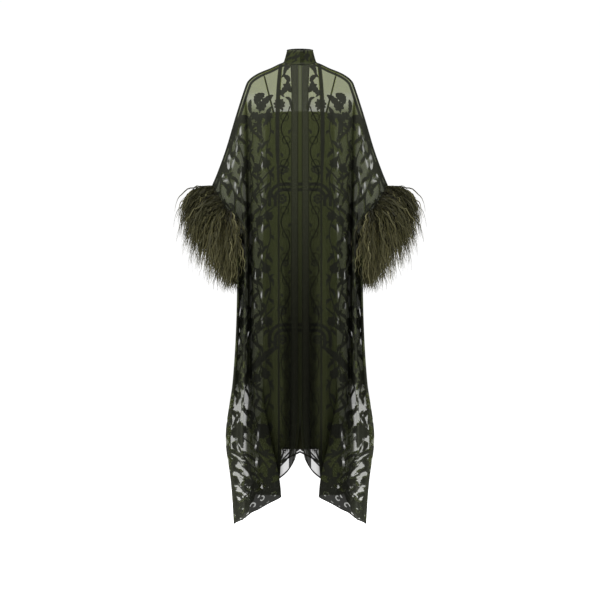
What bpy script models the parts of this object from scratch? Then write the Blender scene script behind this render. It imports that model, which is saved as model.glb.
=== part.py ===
"""A full-length sheer kaftan over an opaque slip, with a stand collar and feather cuffs.

It is hollow and filled out as if worn. Metres, +Z up, the front faces -Y, and +X is the wearer's
left. The origin lies between the shoulders at the base of the collar, where the wearer's shoulders
hold the garment up.
"""

import math

import bmesh
import bpy
import numpy as np

# Cloth and seams
WALL = 0.0015
BAND_WALL = 0.0010
SEAM_GAP = 0.0003

# The neck seam and the stand collar
NECK_HALF_WIDTH = 0.0672
NECK_FRONT = 0.0700
NECK_BACK = 0.0560
NECK_RISE_BACK = 0.024
COLLAR_TOP = 0.0605
COLLAR_TOP_HALF_WIDTH = 0.0520
COLLAR_TOP_FRONT = 0.0600
COLLAR_TOP_BACK = 0.0460
COLLAR_FLARE = 0.8
COLLAR_ROWS = 4

# The cuff opening, at the outer edge of each sleeve
CUFF_TOP = -0.468
CUFF_BOTTOM = -0.740
CUFF_HALF_DEPTH = 0.055

# The slip and its straps
SLIP_TOP = -0.187
SLIP_BACK_TOP = -0.200
SLIP_SIDE_TOP = -0.238
SLIP_HEM = -1.486
SLIP_FLAT_TOP_HALF = 0.100
SLIP_AXIS = 0.010
STRAP_RADIUS = 0.0024
STRAP_STATION = 3.5
STRAP_ROWS = 3
STRAP_INSET = 1.12
STRAP_FOOT = 0.0010

# The feathers on each cuff
FEATHERS_ROUND = 30
FEATHER_ROWS = 2
FEATHER_STEPS = 3
FEATHER_LENGTH = 0.184
FEATHER_ROOT_SHARE = 0.30
FEATHER_TIP_SCALE = 0.34
FEATHER_LIFT = 0.24
FEATHER_SPREAD = 0.80
FEATHER_SWING = 0.16
FEATHER_DROOP = 1.1
FEATHER_FULLNESS = 0.36
FEATHER_SHORTENING = 0.12
RING_WIDTH = 0.016
RING_WALL = 0.003
RING_CLEARANCE = 0.0021

# The shoulder and over-arm line, from the centre of the neck to the wrist: one row for each station of
# the cloth's width, with how far out it lies and its height. The first three follow the neck.
SHOULDER_LINE = (
    # out, height
    (0.0000, -0.004),
    (0.0475, 0.001),
    (0.0672, 0.012),
    (0.1150, -0.009),
    (0.1650, -0.030),
    (0.1990, -0.055),
    (0.2145, -0.086),
    (0.2496, -0.195),
    (0.2867, -0.320),
    (0.3200, -0.413),
    (0.3430, CUFF_TOP),
)

# The hem's height at each station, front and back.
HEM_LINE = (-1.513, -1.575, -1.617, -1.660, -1.662, -1.698, -1.734, -1.756, -1.768, -1.780, -1.782)
BACK_HEM_LINE = (-1.515, -1.542, -1.580, -1.626, -1.664, -1.698, -1.734, -1.756, -1.768, -1.780, -1.782)
HEM_CORNER = 0.75
VENT_HALF_WIDTH = 0.017
VENT_TOP = -1.34

# Sections of the hanging front, a row for each height. The stations are: centre, breast, outer breast,
# pleat's back fold, pleat's front fold, side, valley beside the arm, sleeve front, sleeve valley, wing,
# edge. "out" is the distance from the centre line and "depth" is how far forward the cloth lies.
FRONT_SECTIONS = (
    {
        "height": -0.10,
        "out": (0, 0.042, 0.080, 0.125, 0.165, 0.195, 0.212, 0.222, 0.230, 0.236, 0.240),
        "depth": (0.100, 0.098, 0.090, 0.070, 0.052, 0.042, 0.032, 0.036, 0.028, 0.018, 0.0),
    },
    {
        "height": -0.25,
        "out": (0, 0.045, 0.086, 0.130, 0.166, 0.190, 0.206, 0.236, 0.262, 0.275, 0.285),
        "depth": (0.128, 0.128, 0.120, 0.102, 0.080, 0.058, 0.040, 0.054, 0.038, 0.022, 0.0),
    },
    {
        "height": -0.45,
        "out": (0, 0.046, 0.088, 0.131, 0.164, 0.187, 0.204, 0.228, 0.264, 0.303, 0.338),
        "depth": (0.134, 0.135, 0.130, 0.114, 0.091, 0.062, 0.028, 0.070, 0.052, 0.062, 0.0),
    },
    {
        "height": -0.60,
        "out": (0, 0.046, 0.089, 0.131, 0.162, 0.184, 0.202, 0.215, 0.232, 0.250, 0.264),
        "depth": (0.136, 0.138, 0.134, 0.119, 0.097, 0.066, 0.018, 0.082, 0.052, 0.076, 0.0),
    },
    {
        "height": -0.74,
        "out": (0, 0.046, 0.090, 0.131, 0.160, 0.182, 0.200, 0.210, 0.224, 0.243, 0.229),
        "depth": (0.138, 0.141, 0.137, 0.124, 0.103, 0.074, 0.022, 0.095, 0.040, 0.078, 0.0),
    },
    {
        "height": -0.95,
        "out": (0, 0.047, 0.092, 0.132, 0.158, 0.180, 0.199, 0.212, 0.226, 0.243, 0.236),
        "depth": (0.141, 0.144, 0.142, 0.130, 0.112, 0.085, 0.030, 0.100, 0.035, 0.070, 0.0),
    },
    {
        "height": -1.22,
        "out": (0, 0.049, 0.096, 0.138, 0.150, 0.172, 0.198, 0.218, 0.233, 0.259, 0.248),
        "depth": (0.143, 0.146, 0.142, 0.128, 0.137, 0.122, 0.042, 0.104, 0.040, 0.062, 0.0),
    },
    {
        "height": -1.46,
        "out": (0, 0.051, 0.101, 0.155, 0.108, 0.150, 0.196, 0.226, 0.242, 0.289, 0.270),
        "depth": (0.141, 0.140, 0.128, 0.104, 0.150, 0.162, 0.062, 0.108, 0.046, 0.055, 0.0),
    },
    {
        "height": -1.62,
        "out": (0, 0.052, 0.105, 0.164, 0.076, 0.135, 0.190, 0.222, 0.236, 0.269, 0.260),
        "depth": (0.136, 0.132, 0.118, 0.096, 0.152, 0.170, 0.085, 0.110, 0.055, 0.048, 0.0),
    },
    {
        "height": -1.80,
        "out": (0, 0.052, 0.105, 0.164, 0.074, 0.130, 0.186, 0.218, 0.234, 0.257, 0.251),
        "depth": (0.134, 0.130, 0.116, 0.096, 0.152, 0.170, 0.090, 0.106, 0.060, 0.045, 0.0),
    },
)

# Sections of the hanging back, at the same stations. Here "depth" is how far behind the cloth lies.
BACK_SECTIONS = (
    {
        "height": -0.10,
        "out": (0, 0.042, 0.080, 0.125, 0.165, 0.195, 0.212, 0.222, 0.230, 0.236, 0.240),
        "depth": (0.082, 0.082, 0.078, 0.066, 0.050, 0.040, 0.030, 0.034, 0.026, 0.016, 0.0),
    },
    {
        "height": -0.25,
        "out": (0, 0.045, 0.086, 0.130, 0.166, 0.190, 0.206, 0.236, 0.262, 0.275, 0.285),
        "depth": (0.112, 0.115, 0.112, 0.098, 0.075, 0.054, 0.037, 0.052, 0.036, 0.022, 0.0),
    },
    {
        "height": -0.45,
        "out": (0, 0.046, 0.088, 0.131, 0.164, 0.187, 0.204, 0.228, 0.264, 0.303, 0.338),
        "depth": (0.112, 0.117, 0.116, 0.103, 0.081, 0.055, 0.026, 0.062, 0.046, 0.056, 0.0),
    },
    {
        "height": -0.60,
        "out": (0, 0.046, 0.089, 0.131, 0.162, 0.184, 0.202, 0.215, 0.232, 0.250, 0.264),
        "depth": (0.113, 0.119, 0.118, 0.107, 0.086, 0.057, 0.016, 0.072, 0.046, 0.070, 0.0),
    },
    {
        "height": -0.74,
        "out": (0, 0.046, 0.090, 0.131, 0.160, 0.182, 0.200, 0.210, 0.224, 0.243, 0.229),
        "depth": (0.115, 0.121, 0.121, 0.111, 0.092, 0.062, 0.018, 0.082, 0.036, 0.072, 0.0),
    },
    {
        "height": -0.95,
        "out": (0, 0.047, 0.092, 0.132, 0.160, 0.182, 0.200, 0.212, 0.226, 0.243, 0.236),
        "depth": (0.118, 0.125, 0.125, 0.116, 0.099, 0.072, 0.026, 0.090, 0.034, 0.066, 0.0),
    },
    {
        "height": -1.22,
        "out": (0, 0.049, 0.096, 0.138, 0.164, 0.184, 0.202, 0.218, 0.233, 0.259, 0.248),
        "depth": (0.120, 0.131, 0.134, 0.122, 0.108, 0.090, 0.036, 0.096, 0.038, 0.058, 0.0),
    },
    {
        "height": -1.46,
        "out": (0, 0.050, 0.099, 0.142, 0.168, 0.188, 0.204, 0.226, 0.242, 0.289, 0.270),
        "depth": (0.118, 0.136, 0.144, 0.124, 0.118, 0.106, 0.044, 0.102, 0.044, 0.052, 0.0),
    },
    {
        "height": -1.62,
        "out": (0, 0.050, 0.099, 0.140, 0.166, 0.186, 0.202, 0.222, 0.236, 0.269, 0.260),
        "depth": (0.117, 0.138, 0.147, 0.124, 0.120, 0.109, 0.047, 0.102, 0.047, 0.048, 0.0),
    },
    {
        "height": -1.80,
        "out": (0, 0.050, 0.098, 0.138, 0.164, 0.184, 0.200, 0.218, 0.234, 0.257, 0.251),
        "depth": (0.116, 0.140, 0.150, 0.124, 0.122, 0.112, 0.050, 0.102, 0.050, 0.045, 0.0),
    },
)

# Sections of the slip: half width, how far forward and how far behind it lies.
SLIP_SECTIONS = (
    {"height": -0.18, "half_width": 0.126, "front": 0.100, "back": 0.086},
    {"height": -0.26, "half_width": 0.135, "front": 0.110, "back": 0.092},
    {"height": -0.42, "half_width": 0.127, "front": 0.100, "back": 0.088},
    {"height": -0.62, "half_width": 0.142, "front": 0.110, "back": 0.100},
    {"height": -1.00, "half_width": 0.144, "front": 0.112, "back": 0.104},
    {"height": -1.65, "half_width": 0.146, "front": 0.114, "back": 0.106},
)

# The slip's columns as shares of its half width, with how far its hem drops below the middle there.
SLIP_COLUMNS = (
    # share, drop
    (0.0, 0.0),
    (0.26, 0.0),
    (0.50, 0.0),
    (0.54, 0.112),
    (0.68, 0.126),
    (0.82, 0.140),
    (0.93, 0.150),
    (1.0, 0.155),
)

# The cloth's columns, as stations and shares between them. The placket's edges are two of them.
PLACKET_INNER = 0.19
PLACKET_OUTER = 0.75
NECK_COLUMNS = (0.0, PLACKET_INNER, 0.47, PLACKET_OUTER, 1.0, 1.5, 2.0)
SHOULDER_COLUMNS = (2.35, 2.7, 3.0, 3.25, 3.5, 3.75, 4.0, 4.35, 4.7, 5.0)
SLEEVE_COLUMNS = (5.5, 6.0, 6.5, 7.0, 7.5, 8.0, 8.5, 9.0, 9.5, 10.0)
COLUMNS = NECK_COLUMNS + SHOULDER_COLUMNS + SLEEVE_COLUMNS
UPPER_ROWS = (0.0, 0.004, 0.011, 0.024, 0.045, 0.075, 0.12, 0.175, 0.24, 0.31)
LOWER_ROWS = (0.385, 0.46, 0.54, 0.62, 0.70, 0.78, 0.86, 0.93, 1.0)
ROW_SHARES = UPPER_ROWS + LOWER_ROWS

# The cloth turns over the shoulder within ROUNDED_DROP of the seam, and hangs as its sections say once
# it is SETTLING_DROP below it.
ROUNDED_DROP = 0.10
SETTLING_DROP = 0.22

COLOURS = {
    # name: (red, green, blue, roughness)
    "chiffon": (0.055, 0.060, 0.032, 0.75),
    "placket": (0.050, 0.052, 0.040, 0.70),
    "slip": (0.040, 0.044, 0.020, 0.55),
    "feather": (0.060, 0.055, 0.024, 0.85),
}


def spline(knots, values, at):
    """A smooth curve through the values at rising knots, read at one place or at several."""
    knots = np.asarray(knots, float)
    values = np.asarray(values, float)
    at = np.clip(np.asarray(at, float), knots[0], knots[-1])
    slopes = np.gradient(values, knots, axis=0)
    i = np.clip(np.searchsorted(knots, at) - 1, 0, len(knots) - 2)
    width = knots[i + 1] - knots[i]
    t = (at - knots[i]) / width
    if values.ndim > 1:
        t = np.asarray(t)[..., None]
        width = np.asarray(width)[..., None]
    return (
        (2 * t**3 - 3 * t**2 + 1) * values[i]
        + (t**3 - 2 * t**2 + t) * width * slopes[i]
        + (3 * t**2 - 2 * t**3) * values[i + 1]
        + (t**3 - t**2) * width * slopes[i + 1]
    )


def hanging(sections, station, height):
    """How far out and how deep the hanging cloth lies at one station and height."""
    heights = [-row["height"] for row in sections]
    stations = np.arange(len(SHOULDER_LINE))
    out, depth = (
        spline(stations, spline(heights, [row[key] for row in sections], -height), station)
        for key in ("out", "depth")
    )
    return float(out), float(depth)


def neck_depth(out, reach):
    """How deep the neck seam lies at this distance from the centre line."""
    return reach * math.sqrt(max(0.0, 1 - (out / NECK_HALF_WIDTH) ** 2))


def top_point(station, reach, rise):
    """The cloth's upper edge at a station: along the neck, then along the shoulder and arm."""
    out, height = spline(np.arange(len(SHOULDER_LINE)), SHOULDER_LINE, station)
    if station < 2:
        out = NECK_HALF_WIDTH * math.sin(station * math.pi / 4)
    depth = neck_depth(out, reach) if station < 2 else 0.0
    share = depth / reach
    return float(out), depth + SEAM_GAP / 2, float(height) + rise * share


def cuff_depth(height):
    """How deep the open cuff's edge lies, and nothing below the cuff."""
    share = (CUFF_TOP - height) / (CUFF_TOP - CUFF_BOTTOM)
    return CUFF_HALF_DEPTH * math.sin(math.pi * min(max(share, 0.0), 1.0))


def hem_height(hem, station, corner):
    """The hem's height at a station. corner below 1 rounds the hem away from the centre more steeply."""
    if station < 1:
        station = station**corner
    return float(spline(np.arange(len(hem)), hem, station))


def vent(station, height, hem):
    """How far the front edges part near the hem, where the centre seam is left open."""
    share = min(1.0, max(0.0, (VENT_TOP - height) / (VENT_TOP - hem[0])))
    return VENT_HALF_WIDTH * share**1.5 * max(0.0, 1 - station)


def cloth_point(sections, hem, reach, rise, station, share):
    """A point of the panel's middle surface, as out, depth and height. share runs from top to hem."""
    out_top, depth_top, top = top_point(station, reach, rise)
    is_front = sections is FRONT_SECTIONS
    low = hem_height(hem, station, HEM_CORNER if is_front else 1)
    height = top + (low - top) * share
    out, depth = hanging(sections, station, height)
    depth += cuff_depth(height) * max(0.0, station - 9.0)
    out_above, _ = hanging(sections, station, top)
    drop = top - height
    settled = min(1.0, drop / SETTLING_DROP)
    out += (out_top - out_above) * (1 - settled) ** 2
    turned = 1 - (1 - min(1.0, drop / ROUNDED_DROP)) ** 2
    rounded = math.sqrt(turned)
    depth = depth * rounded + depth_top * (1 - rounded)
    out = max(out, SEAM_GAP / 2)
    if is_front:
        out += vent(station, height, hem)
    return out, max(depth, SEAM_GAP / 2), height


def panel_grid(sections, hem, reach, rise, side, facing):
    """The middle surface of half a panel: rows from top to hem, columns from the centre outwards."""
    grid = np.array(
        [[cloth_point(sections, hem, reach, rise, s, v) for s in COLUMNS] for v in ROW_SHARES]
    )
    return np.stack([side * grid[..., 0], facing * grid[..., 1], grid[..., 2]], axis=-1)


def unit(vectors):
    return vectors / np.linalg.norm(vectors, axis=-1, keepdims=True)


def grid_normals(grid, outwards):
    """Normals of a grid of points, turned so that most of them face outwards."""
    across = np.gradient(grid, axis=1)
    down = np.gradient(grid, axis=0)
    normals = unit(np.cross(across, down))
    facing = (normals @ np.asarray(outwards, float)).sum()
    return normals if facing > 0 else -normals


def seam_normals(grid, normals):
    """Walls that meet at a seam share their normals there: at the centre, the shoulder and the side."""
    normals = normals.copy()
    normals[:, 0, 0] = 0
    first_on_shoulder = COLUMNS.index(2.0)
    normals[0, first_on_shoulder:, 1] = 0
    sewn = np.abs(grid[:, -1, 1]) < SEAM_GAP
    normals[sewn, -1, 1] = 0
    return unit(normals)


def new_object(name, mesh, material):
    obj = bpy.data.objects.new(name, mesh)
    collection.objects.link(obj)
    mesh.materials.append(material)
    mesh.shade_smooth()
    mesh.set_sharp_from_angle(angle=math.radians(50))
    return obj


def wall(name, middle, normals, thickness, material, offset=0.0, closed=False):
    """A closed wall of even thickness round a grid. closed joins its last column to its first."""
    rows, columns = middle.shape[:2]
    outer = middle + normals * (offset + thickness / 2)
    inner = middle + normals * (offset - thickness / 2)
    points = np.concatenate([outer.reshape(-1, 3), inner.reshape(-1, 3)])
    count = rows * columns
    last = columns if closed else columns - 1
    faces = []
    for r in range(rows - 1):
        for c in range(last):
            n = (c + 1) % columns
            a, b = r * columns + c, r * columns + n
            d, e = a + columns, b + columns
            faces.append((a, b, e, d))
            faces.append((count + a, count + d, count + e, count + b))
    for r in (0, rows - 1):
        for c in range(last):
            a, b = r * columns + c, r * columns + (c + 1) % columns
            faces.append((a, b, count + b, count + a))
    if not closed:
        for c in (0, columns - 1):
            for r in range(rows - 1):
                a, b = r * columns + c, (r + 1) * columns + c
                faces.append((a, b, count + b, count + a))
    mesh = bpy.data.meshes.new(name)
    mesh.from_pydata(points.tolist(), [], faces)
    shape = bmesh.new()
    shape.from_mesh(mesh)
    bmesh.ops.recalc_face_normals(shape, faces=shape.faces)
    shape.to_mesh(mesh)
    shape.free()
    return new_object(name, mesh, material)


def front_half(side):
    """Middle points and normals of one front panel."""
    grid = panel_grid(FRONT_SECTIONS, HEM_LINE, NECK_FRONT, 0.0, side, -1)
    return grid, seam_normals(grid, grid_normals(grid, (0, -1, 0)))


def back_half(side):
    """Middle points and normals of one half of the back."""
    grid = panel_grid(BACK_SECTIONS, BACK_HEM_LINE, NECK_BACK, NECK_RISE_BACK, side, 1)
    return grid, seam_normals(grid, grid_normals(grid, (0, 1, 0)))


def make_fronts():
    """The two front panels, each with its placket sewn on beside the centre seam."""
    first, last = COLUMNS.index(PLACKET_INNER), COLUMNS.index(PLACKET_OUTER) + 1
    lift = WALL / 2 + SEAM_GAP + BAND_WALL / 2
    for side, name in ((1, "left"), (-1, "right")):
        grid, normals = front_half(side)
        wall(f"front_{name}", grid, normals, WALL, materials["chiffon"])
        wall(
            f"placket_{name}",
            grid[:, first:last],
            normals[:, first:last],
            BAND_WALL,
            materials["placket"],
            offset=lift,
        )


def make_back():
    """The back panel, in one piece from side to side."""
    left, left_normals = back_half(1)
    right, right_normals = back_half(-1)
    left[:, 0, 0] = 0
    grid = np.concatenate([right[:, :0:-1], left], axis=1)
    normals = np.concatenate([right_normals[:, :0:-1], left_normals], axis=1)
    wall("back", grid, normals, WALL, materials["chiffon"])


def neck_ring():
    """The neck edge of the panels, all the way round, with the panels' normals there."""
    points, normals = [], []
    last = COLUMNS.index(2.0)
    for side in (1, -1):
        front, front_normals = front_half(side)
        back, back_normals = back_half(side)
        edge = np.concatenate([front[0, : last + 1], back[0, last - 1 :: -1]])
        facing = np.concatenate([front_normals[0, : last + 1], back_normals[0, last - 1 :: -1]])
        edge[[0, -1], 0] = 0
        points.append(edge)
        normals.append(facing)
    ring = np.concatenate([points[0], points[1][-2:0:-1]])
    return ring, np.concatenate([normals[0], normals[1][-2:0:-1]])


def make_collar():
    """The stand collar: a ring of cloth sewn inside the panels' neck edge, narrower at the top."""
    ring, normals = neck_ring()
    along = np.roll(ring, -1, axis=0) - np.roll(ring, 1, axis=0)
    outwards = unit(np.cross(along, (0.0, 0.0, 1.0)))
    outwards *= np.sign((outwards * ring).sum(axis=1, keepdims=True))
    slant = np.linalg.norm(normals[:, :2], axis=1, keepdims=True)
    base = ring - outwards * (WALL / 2 * (1 + slant) + SEAM_GAP) * 1.08
    base[:, 2] -= WALL / 2
    deep = np.where(ring[:, 1] < 0, COLLAR_TOP_FRONT / NECK_FRONT, COLLAR_TOP_BACK / NECK_BACK)
    narrow = np.stack([np.full(len(ring), COLLAR_TOP_HALF_WIDTH / NECK_HALF_WIDTH), deep], axis=1)
    rows = []
    for share in np.linspace(0, 1, COLLAR_ROWS):
        row = base.copy()
        row[:, :2] *= 1 + (narrow - 1) * share**COLLAR_FLARE
        row[:, 2] += (COLLAR_TOP - base[:, 2]) * share
        rows.append(row)
    sides = np.stack([outwards] * COLLAR_ROWS)
    wall("collar", np.array(rows), sides, WALL, materials["chiffon"], closed=True)


def slip_half(facing, top, reach):
    """Middle points and normals of the slip's front or back."""
    shares = [(-share, drop) for share, drop in SLIP_COLUMNS[:0:-1]] + list(SLIP_COLUMNS)
    heights = [-row["height"] for row in SLIP_SECTIONS]
    flat = SLIP_FLAT_TOP_HALF / SLIP_SECTIONS[0]["half_width"]
    rows = []
    for down in np.linspace(0, 1, 13) ** 1.3:
        row = []
        for share, drop in shares:
            slope = min(1.0, max(0.0, (abs(share) - flat) / (1 - flat)))
            edge = top + (SLIP_SIDE_TOP - top) * slope**1.5
            height = edge + (SLIP_HEM - drop - edge) * down
            half = float(spline(heights, [s["half_width"] for s in SLIP_SECTIONS], -height))
            depth = float(spline(heights, [s[reach] for s in SLIP_SECTIONS], -height))
            depth = depth * math.sqrt(1 - share**2) + SEAM_GAP / 2
            row.append((half * share, facing * depth - SLIP_AXIS, height))
        rows.append(row)
    grid = np.array(rows)
    normals = grid_normals(grid, (0, facing, 0))
    normals[:, 0, 1] = 0
    normals[:, -1, 1] = 0
    return grid, unit(normals)


def make_slip():
    """The opaque slip: a front and a back joined at the sides, and two thin straps."""
    front, front_normals = slip_half(-1, SLIP_TOP, "front")
    back, back_normals = slip_half(1, SLIP_BACK_TOP, "back")
    wall("slip_front", front, front_normals, WALL, materials["slip"])
    wall("slip_back", back, back_normals, WALL, materials["slip"])
    ends = []
    for rows in (front, back):
        edge = rows[0]
        ends.append([np.interp(SLIP_FLAT_TOP_HALF, edge[:, 0], edge[:, axis]) for axis in (1, 2)])
    for side, name in ((1, "left"), (-1, "right")):
        make_strap(f"strap_{name}", side, *ends)


def strap_side(half, side, end):
    """Centres of half a strap: under the panel at the shoulder, then straight to the slip's edge."""
    grid, normals = half
    column = COLUMNS.index(STRAP_STATION)
    inset = (WALL / 2 + SEAM_GAP + STRAP_RADIUS) * STRAP_INSET
    under = grid[: STRAP_ROWS, column] - normals[: STRAP_ROWS, column] * inset
    foot = np.array([side * SLIP_FLAT_TOP_HALF, end[0], end[1] + STRAP_FOOT])
    rest = [under[-1] + (foot - under[-1]) * t for t in (0.5, 1.0)]
    return list(under) + rest


def make_strap(name, side, front_end, back_end):
    """A round spaghetti strap from the slip's front, over the shoulder, to its back."""
    front = strap_side(front_half(side), side, front_end)
    back = strap_side(back_half(side), side, back_end)
    front[0][1] = 0
    points = front[::-1] + back[1:]
    curve = bpy.data.curves.new(name, "CURVE")
    curve.dimensions = "3D"
    line = curve.splines.new("POLY")
    line.points.add(len(points) - 1)
    for place, point in zip(line.points, points):
        place.co = (*point, 1)
    curve.bevel_depth = STRAP_RADIUS
    curve.bevel_resolution = 1
    curve.use_fill_caps = True
    obj = bpy.data.objects.new(name, curve)
    collection.objects.link(obj)
    curve.materials.append(materials["slip"])


def cuff_loop(side):
    """Points round the cuff's edge on the panels' own edges, down the front and up the back."""
    edges = [half[0][:, -1] for half in (front_half(side), back_half(side))]
    half = FEATHERS_ROUND // 2
    points = []
    for i in range(FEATHERS_ROUND):
        share = i / half if i <= half else (FEATHERS_ROUND - i) / half
        edge = edges[0 if i <= half else 1][::-1]
        height = CUFF_TOP + (CUFF_BOTTOM - CUFF_TOP) * (1 - math.cos(math.pi * share)) / 2
        points.append([np.interp(height, edge[:, 2], edge[:, axis]) for axis in range(3)])
    return np.array(points)


def feather_path(root, start, length):
    """The centres of one lock of feather, which leaves the cuff outwards and droops."""
    down = np.array([0.0, 0.0, -1.0])
    centres, here = [], np.array(root, float)
    for step in range(FEATHER_STEPS):
        bend = (step + 0.5) / FEATHER_STEPS
        heading = unit(start * (1 - bend) ** 0.8 + down * bend * FEATHER_DROOP)
        here = here + heading * length / FEATHER_STEPS
        centres.append((here, heading))
    return centres


def make_cuff(name, side):
    """A narrow ring beyond the cuff's edge, with rows of feather locks that grow out of it."""
    loop = cuff_loop(side)
    centre = loop.mean(axis=0)
    slant = loop[FEATHERS_ROUND // 2] - loop[0]
    axis = unit(np.array([-slant[2] * side, 0.0, slant[0] * side]))
    radial = loop - centre
    radial -= np.outer(radial @ axis, axis)
    radial = unit(radial)
    shape = bmesh.new()
    rings = []
    for along in np.linspace(0, RING_WIDTH, FEATHER_ROWS + 1):
        base = loop + axis * (RING_CLEARANCE + along)
        rings.append([shape.verts.new(p) for p in base + radial * RING_WALL / 2])
    for along in (RING_WIDTH, 0.0):
        base = loop + axis * (RING_CLEARANCE + along)
        rings.append([shape.verts.new(p) for p in base - radial * RING_WALL / 2])
    roots = []
    for k in range(len(rings)):
        ring, following = rings[k], rings[(k + 1) % len(rings)]
        for i in range(FEATHERS_ROUND):
            n = (i + 1) % FEATHERS_ROUND
            face = shape.faces.new((ring[i], ring[n], following[n], following[i]))
            if k < FEATHER_ROWS:
                roots.append((face, i, k))
    bmesh.ops.recalc_face_normals(shape, faces=shape.faces)
    for face, i, row in roots:
        grow_feather(shape, face, unit(radial[i] + radial[(i + 1) % FEATHERS_ROUND]), axis, i, row)
    mesh = bpy.data.meshes.new(name)
    shape.to_mesh(mesh)
    shape.free()
    new_object(name, mesh, materials["feather"])


def grow_feather(shape, face, radial, axis, index, row):
    """Insets a face of the ring and extrudes it in steps into a tapering lock."""
    size = math.sqrt(face.calc_area())
    bmesh.ops.inset_individual(shape, faces=[face], thickness=size * FEATHER_ROOT_SHARE / 2)
    swing = FEATHER_SWING * math.sin(2.4 * index + 1.7 * row)
    lift = FEATHER_LIFT * (1 + 0.5 * row)
    start = unit(radial * (lift, FEATHER_SPREAD, lift) + axis * (1.0 - 0.15 * row))
    start = unit(start + np.array([0.0, swing * 0.5, 0.0]))
    lower = 0.5 - radial[2] / 2
    fullness = 1 + FEATHER_FULLNESS * math.sin(math.pi * lower) - FEATHER_SHORTENING * lower
    length = FEATHER_LENGTH * fullness * (0.93 + 0.07 * math.cos(1.9 * index + row))
    centre = np.array(face.calc_center_median())
    corners = np.array([v.co for v in face.verts]) - centre
    along = np.array(face.normal)
    for step, (place, heading) in enumerate(feather_path(centre, start, length)):
        face = bmesh.ops.extrude_discrete_faces(shape, faces=[face])["faces"][0]
        turn = np.cross(along, heading)
        corners = rotated(corners, turn, float(along @ heading))
        along = heading
        scale = 1 - (1 - FEATHER_TIP_SCALE) * (step + 1) / FEATHER_STEPS
        for vertex, corner in zip(face.verts, corners):
            vertex.co = place + corner * scale


def rotated(vectors, turn, cosine):
    """The vectors turned about the axis turn, whose length is the sine of the angle."""
    sine = np.linalg.norm(turn)
    if sine < 1e-9:
        return vectors
    axis = turn / sine
    return (
        vectors * cosine
        + np.cross(axis, vectors) * sine
        + np.outer(vectors @ axis, axis) * (1 - cosine)
    )


def make_material(name, red, green, blue, roughness):
    material = bpy.data.materials.new(name)
    material.use_nodes = True
    shader = material.node_tree.nodes["Principled BSDF"]
    shader.inputs["Base Color"].default_value = (red, green, blue, 1)
    shader.inputs["Roughness"].default_value = roughness
    shader.inputs["Metallic"].default_value = 0.0
    return material


for old in list(bpy.data.objects):
    bpy.data.objects.remove(old)
collection = bpy.data.collections.new("kaftan")
bpy.context.scene.collection.children.link(collection)
materials = {name: make_material(name, *values) for name, values in COLOURS.items()}

make_fronts()
make_back()
make_collar()
make_slip()
make_cuff("cuff_left", 1)
make_cuff("cuff_right", -1)
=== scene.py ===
"""Looks of the sheer kaftan: cloth with a burnt-out pattern, an opaque slip and feather cuffs."""

import math

import bpy
import numpy as np
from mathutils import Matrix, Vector


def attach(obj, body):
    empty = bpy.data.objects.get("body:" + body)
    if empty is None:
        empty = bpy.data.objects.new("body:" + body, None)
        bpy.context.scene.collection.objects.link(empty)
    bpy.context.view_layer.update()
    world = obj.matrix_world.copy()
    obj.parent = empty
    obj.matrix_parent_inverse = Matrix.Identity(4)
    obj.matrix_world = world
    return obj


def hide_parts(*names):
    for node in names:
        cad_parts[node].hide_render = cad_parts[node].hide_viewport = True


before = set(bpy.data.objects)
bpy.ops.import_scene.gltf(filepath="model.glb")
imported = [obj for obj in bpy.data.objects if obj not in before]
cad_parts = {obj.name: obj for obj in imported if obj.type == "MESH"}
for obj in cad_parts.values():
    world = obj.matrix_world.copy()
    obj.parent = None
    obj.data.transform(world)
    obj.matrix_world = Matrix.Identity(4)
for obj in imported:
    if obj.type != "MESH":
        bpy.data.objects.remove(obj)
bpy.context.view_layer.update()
SIDES = ((1, "left"), (-1, "right"))
STRAPS = ["strap_left", "strap_right"]

# The garment's shape, as in the CAD source. A station is a place across the cloth, from 0 to 10.
STATIONS = np.arange(11)
NECK_HALF_WIDTH = 0.0672
NECK_FRONT = 0.0700
NECK_BACK = 0.0560
NECK_RISE_BACK = 0.024
COLLAR_TOP = 0.0605
COLLAR_TOP_HALF_WIDTH = 0.0520
COLLAR_TOP_FRONT = 0.0600
COLLAR_TOP_BACK = 0.0460
COLLAR_FLARE = 0.8
CUFF_TOP = -0.468
CUFF_BOTTOM = -0.740
CUFF_HALF_DEPTH = 0.055
HEM_CORNER = 0.75
VENT_HALF_WIDTH = 0.017
VENT_TOP = -1.34
ROUNDED_DROP = 0.10
SETTLING_DROP = 0.22
SLIP_TOP = -0.187
SLIP_BACK_TOP = -0.200
SLIP_SIDE_TOP = -0.238
SLIP_HEM = -1.486
SLIP_FLAT_TOP_HALF = 0.100
SLIP_AXIS = 0.010
THINNEST = 0.0002

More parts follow.
